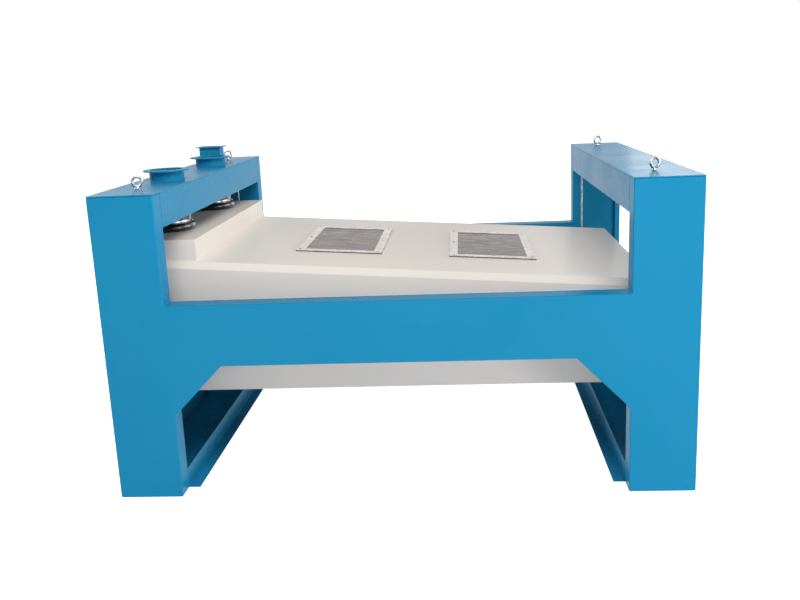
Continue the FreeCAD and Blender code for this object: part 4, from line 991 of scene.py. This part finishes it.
class CLEANER_OT_sleeves(bpy.types.Operator):
    """Mould the rubber feed sleeves with their thick roll, and put a worm-drive clamp round each"""
    bl_idname = "cleaner.sleeves"
    bl_label = "Feed sleeves"

    def execute(self, context):
        done = finishes()
        rubber = bmesh.new()
        clamps = bmesh.new()
        for low, high in islands("feed_sleeves"):
            centre = Vector(((low.x + high.x) / 2, (low.y + high.y) / 2, 0))
            neck = (high.x - low.x) / 2 - SLEEVE_ROLL
            inner = neck - SLEEVE_WALL
            profile = [(inner, low.z), (neck, low.z)]
            for i in range(1, 12):
                angle = math.pi * i / 12
                profile.append((neck + SLEEVE_ROLL * math.sin(angle),
                                low.z + SLEEVE_ROLL * (1 - math.cos(angle))))
            profile += [(neck, low.z + 2 * SLEEVE_ROLL), (neck, high.z - 0.008),
                        (neck + 0.0012, high.z - 0.004), (neck, high.z), (inner, high.z), (inner, low.z)]
            turned_profile(rubber, profile, centre, 72)
        for low, high in islands("sleeve_clamps"):
            radius = (high.y - low.y) / 2
            centre = Vector((low.x + radius, (low.y + high.y) / 2, 0))
            inner = radius - CLAMP_BAND
            turned_profile(clamps, [
                (inner, low.z), (radius - 0.0005, low.z), (radius, low.z + 0.001), (radius, high.z - 0.001),
                (radius - 0.0005, high.z), (inner, high.z), (inner, low.z)], centre, 72)
            barrel = centre + Vector((radius + 0.0045, 0, (low.z + high.z) / 2))
            turned_profile(clamps, CLAMP_BARREL, barrel, 20, Vector((0, 1, 0)))
        for bm in (rubber, clamps):
            bmesh.ops.remove_doubles(bm, verts=bm.verts, dist=1e-6)
        sleeves = finish_mesh(rubber, "moulded_sleeves", done.rubber, angle=50.0)
        hoops = finish_mesh(clamps, "worm_clamps", done.zinc)
        stand_for(sleeves, "feed_sleeves")
        stand_for(hoops, "sleeve_clamps")
        return {"FINISHED"}


class CLEANER_OT_drawers(bpy.types.Operator):
    """Finish the two sieve drawers: wood, punched screens, steel fronts and rubber balls"""
    bl_idname = "cleaner.drawers"
    bl_label = "Sieve drawers"

    def execute(self, context):
        done = finishes()
        for deck in ("upper", "lower"):
            softened(deck + "_sieve_frame", THIN_EDGE, done.wood, 1)
            paint_node(deck + "_sieve_front", done.white)
            paint_node(deck + "_sieve_screen", done.screen)
            paint_node(deck + "_cleaning_balls", done.ball)
            low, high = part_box(deck + "_sieve_front")
            middle = (low.z + high.z) / 2
            places = [(Vector((low.x + DRAWER_FRONT, y + SWING, middle + z)), Vector((1, 0, 0)))
                      for y in DRAWER_BOLTS_Y for z in DRAWER_BOLTS_Z]
            bolts = scattered(deck + "_front_bolts", hex_bolt_shape(*M8_FLAT_HEAD), places, done.zinc, seed=3)
            ride_like(bolts, deck + "_sieve_front")
        return {"FINISHED"}


class CLEANER_OT_base(bpy.types.Operator):
    """Finish the base beams and the drive plate, with the bolts that hold the plate up"""
    bl_idname = "cleaner.base"
    bl_label = "Base frame"

    def execute(self, context):
        done = finishes()
        for node in ("base_beams", "drive_plate", "motor_bracket"):
            softened(node, MACHINE_EDGE, done.grey)
        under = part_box("drive_plate")[0].z
        places = [(Vector((x, y + SWING, under)), DOWN) for x in PLATE_BOLTS_X for y in PLATE_BOLTS_Y]
        low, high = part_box("motor_bracket")
        along, across = BRACKET_INSET
        places += [(Vector((x, y, high.z - BRACKET_PLATE)), DOWN) for x in (low.x + along, high.x - along)
                   for y in (low.y + across, high.y - across)]
        bolts = scattered("plate_bolts", hex_bolt_shape(*M16_HEAD), places, done.zinc, seed=5)
        ride_like(bolts, "drive_plate")
        return {"FINISHED"}


class CLEANER_OT_drive(bpy.types.Operator):
    """Finish the belt wheel, weights, shaft, bearings, belts, motor and pulley, with their bolts"""
    bl_idname = "cleaner.drive"
    bl_label = "Drive"

    def execute(self, context):
        done = finishes()
        softened("bearing_housing", MACHINE_EDGE, done.iron)
        softened("balance_weights", CAST_EDGE, done.iron)
        softened("drive_wheel", THIN_EDGE, done.iron, 1)
        softened("drive_motor", THIN_EDGE, done.grey, 1)
        softened("motor_pulley", FINE_EDGE, done.iron, 1)
        softened("drive_shaft", THIN_EDGE, done.turned)
        paint_node("drive_bearings", done.turned)
        softened("drive_belts", THIN_EDGE, done.belt, 1)
        low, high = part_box("bearing_housing")
        centre = (low + high) / 2
        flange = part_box("drive_plate")[0].z - HOUSING_FLANGE
        places = [(on_circle(centre, HOUSING_CIRCLE, math.radians(22.5 + 45 * i), flange), DOWN)
                  for i in range(8)]
        low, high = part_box("drive_motor")
        motor = (high.x - MOTOR_REACH, (low.y + high.y) / 2)
        places += [(on_circle(motor, MOTOR_CIRCLE, math.radians(45 + 90 * i), low.z + MOTOR_FLANGE), UP)
                   for i in range(4)]
        bolts = scattered("housing_bolts", hex_bolt_shape(*M8_HEAD), places, done.zinc, seed=9)
        ride_like(bolts, "bearing_housing")
        low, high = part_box("balance_weights")
        places = []
        for i in (-1, 0, 1):
            angle = math.radians(270 + 34 * i)
            for face, facing in ((low.z, DOWN), (high.z, UP)):
                places.append((on_circle(centre, WEIGHT_CIRCLE, angle, face), facing))
        nuts = scattered("weight_bolts", hex_bolt_shape(*M12_HEAD), places, done.zinc, seed=11)
        ride_like(nuts, "balance_weights")
        return {"FINISHED"}


# Stage

def area_lamp(name, place, aim, size, power, tint):
    """Soft rectangular lamp that the camera doesn't see."""
    lamp = bpy.data.lights.new(name, "AREA")
    lamp.shape = "RECTANGLE"
    lamp.size, lamp.size_y = size
    lamp.energy = power
    lamp.color = colour(tint)[:3]
    holder = bpy.data.objects.new(name, lamp)
    holder.location = place
    holder.rotation_euler = (Vector(aim) - Vector(place)).to_track_quat("-Z", "Y").to_euler()
    holder.visible_camera = False
    bpy.context.scene.collection.objects.link(holder)


def background_level(tree, levels):
    """First level as light on the object, second where the camera, a reflection or glass shows it."""
    path = add_node(tree, "ShaderNodeLightPath").outputs
    seen = path["Is Camera Ray"]
    for ray in ("Is Glossy Ray", "Is Transmission Ray"):
        seen = add_node(tree, "ShaderNodeMath", {"operation": "MAXIMUM"}, i0=seen, i1=path[ray]).outputs[0]
    return spread(tree, seen, *levels)


def floor_material():
    """Matt pale studio floor that shows white to the camera and keeps the object's shadow."""
    made, tree, shader = material("matt white studio floor", Roughness=0.9, Specular_IOR_Level=0.0)
    grain = noise(tree, coordinates(tree), 900.0, 2.0)
    tone = ramp(tree, grain, [(0.3, "#f4f4f4"), (0.7, "#fafafa")])
    join(tree, shader, Base_Color=tone)
    glow = add_node(tree, "ShaderNodeEmission", Color=(1, 1, 1, 1),
                    Strength=background_level(tree, FLOOR_LIGHT))
    both = add_node(tree, "ShaderNodeAddShader", i0=shader.outputs[0], i1=glow.outputs[0])
    output = tree.nodes["Material Output"]
    tree.links.new(both.outputs[0], output.inputs["Surface"])
    return made


def world_light():
    """Even white surroundings: a soft fill as light, full white where they are seen."""
    world = bpy.data.worlds.new("white studio")
    bpy.context.scene.world = world
    world.use_nodes = True
    tree = world.node_tree
    join(tree, tree.nodes["Background"], Color=(1, 1, 1, 1), Strength=background_level(tree, WORLD_LIGHT))


def camera_turn(view):
    """Rotation of the camera from its yaw, pitch and roll."""
    level = math.cos(view.pitch)
    forward = Vector((math.sin(view.yaw) * level, math.cos(view.yaw) * level, math.sin(view.pitch)))
    right = Vector((math.cos(view.yaw), -math.sin(view.yaw), 0))
    up = right.cross(forward)
    across = math.cos(view.roll) * right + math.sin(view.roll) * up
    upward = -math.sin(view.roll) * right + math.cos(view.roll) * up
    return Matrix((across, upward, -forward)).transposed()


class CLEANER_OT_stage(bpy.types.Operator):
    """Set the floor, the lamps, the surroundings and the camera"""
    bl_idname = "cleaner.stage"
    bl_label = "Stage"

    def execute(self, context):
        scene = context.scene
        scene.view_settings.view_transform = "Standard"
        bm = bmesh.new()
        bmesh.ops.create_grid(bm, x_segments=2, y_segments=2, size=40.0)
        bmesh.ops.translate(bm, verts=bm.verts, vec=(0, 0, -FLOOR_DROP))
        floor = finish_mesh(bm, "studio_floor", floor_material())
        world_light()
        for lamp in LAMPS:
            area_lamp(*lamp)
        view = scene.cleaner_view
        camera = bpy.data.cameras.new("photo camera")
        camera.sensor_width = 36.0
        camera.lens = view.lens
        holder = bpy.data.objects.new("photo camera", camera)
        holder.matrix_world = Matrix.Translation(Vector(view.place)) @ camera_turn(view).to_4x4()
        scene.collection.objects.link(holder)
        scene.camera = holder
        return {"FINISHED"}


class CLEANER_PT_panel(bpy.types.Panel):
    """Sizes, paints and view, and the steps that dress the machine"""
    bl_idname = "CLEANER_PT_panel"
    bl_label = "Grain cleaner"
    bl_space_type = "VIEW_3D"
    bl_region_type = "UI"
    bl_category = "Grain cleaner"

    def draw(self, context):
        for name in GROUPS:
            group = getattr(context.scene, name)
            box = self.layout.box()
            for key in group.__annotations__:
                box.prop(group, key)
        for operator in OPERATORS:
            self.layout.operator(operator.bl_idname)


OPERATORS = (
    CLEANER_OT_side_frames,
    CLEANER_OT_end_frames,
    CLEANER_OT_spouts,
    CLEANER_OT_eyebolts,
    CLEANER_OT_body_sheets,
    CLEANER_OT_windows,
    CLEANER_OT_ropes,
    CLEANER_OT_sleeves,
    CLEANER_OT_drawers,
    CLEANER_OT_base,
    CLEANER_OT_drive,
    CLEANER_OT_stage,
)
GROUPS = {"cleaner_paints": CleanerPaints, "cleaner_sizes": CleanerSizes, "cleaner_view": CleanerView}
CLASSES = (*GROUPS.values(), *OPERATORS, CLEANER_PT_panel)


def register():
    """Register the classes and hang the property groups on the scene."""
    for kind in CLASSES:
        bpy.utils.register_class(kind)
    for name, group in GROUPS.items():
        setattr(bpy.types.Scene, name, bpy.props.PointerProperty(type=group))


def unregister():
    """Take the property groups off the scene again and unregister the classes."""
    for name in reversed(GROUPS):
        delattr(bpy.types.Scene, name)
    for kind in reversed(CLASSES):
        bpy.utils.unregister_class(kind)


def main():
    register()
    for operator in OPERATORS:
        group, name = operator.bl_idname.split(".")
        getattr(getattr(bpy.ops, group), name)()


if __name__ == "__main__":
    main()
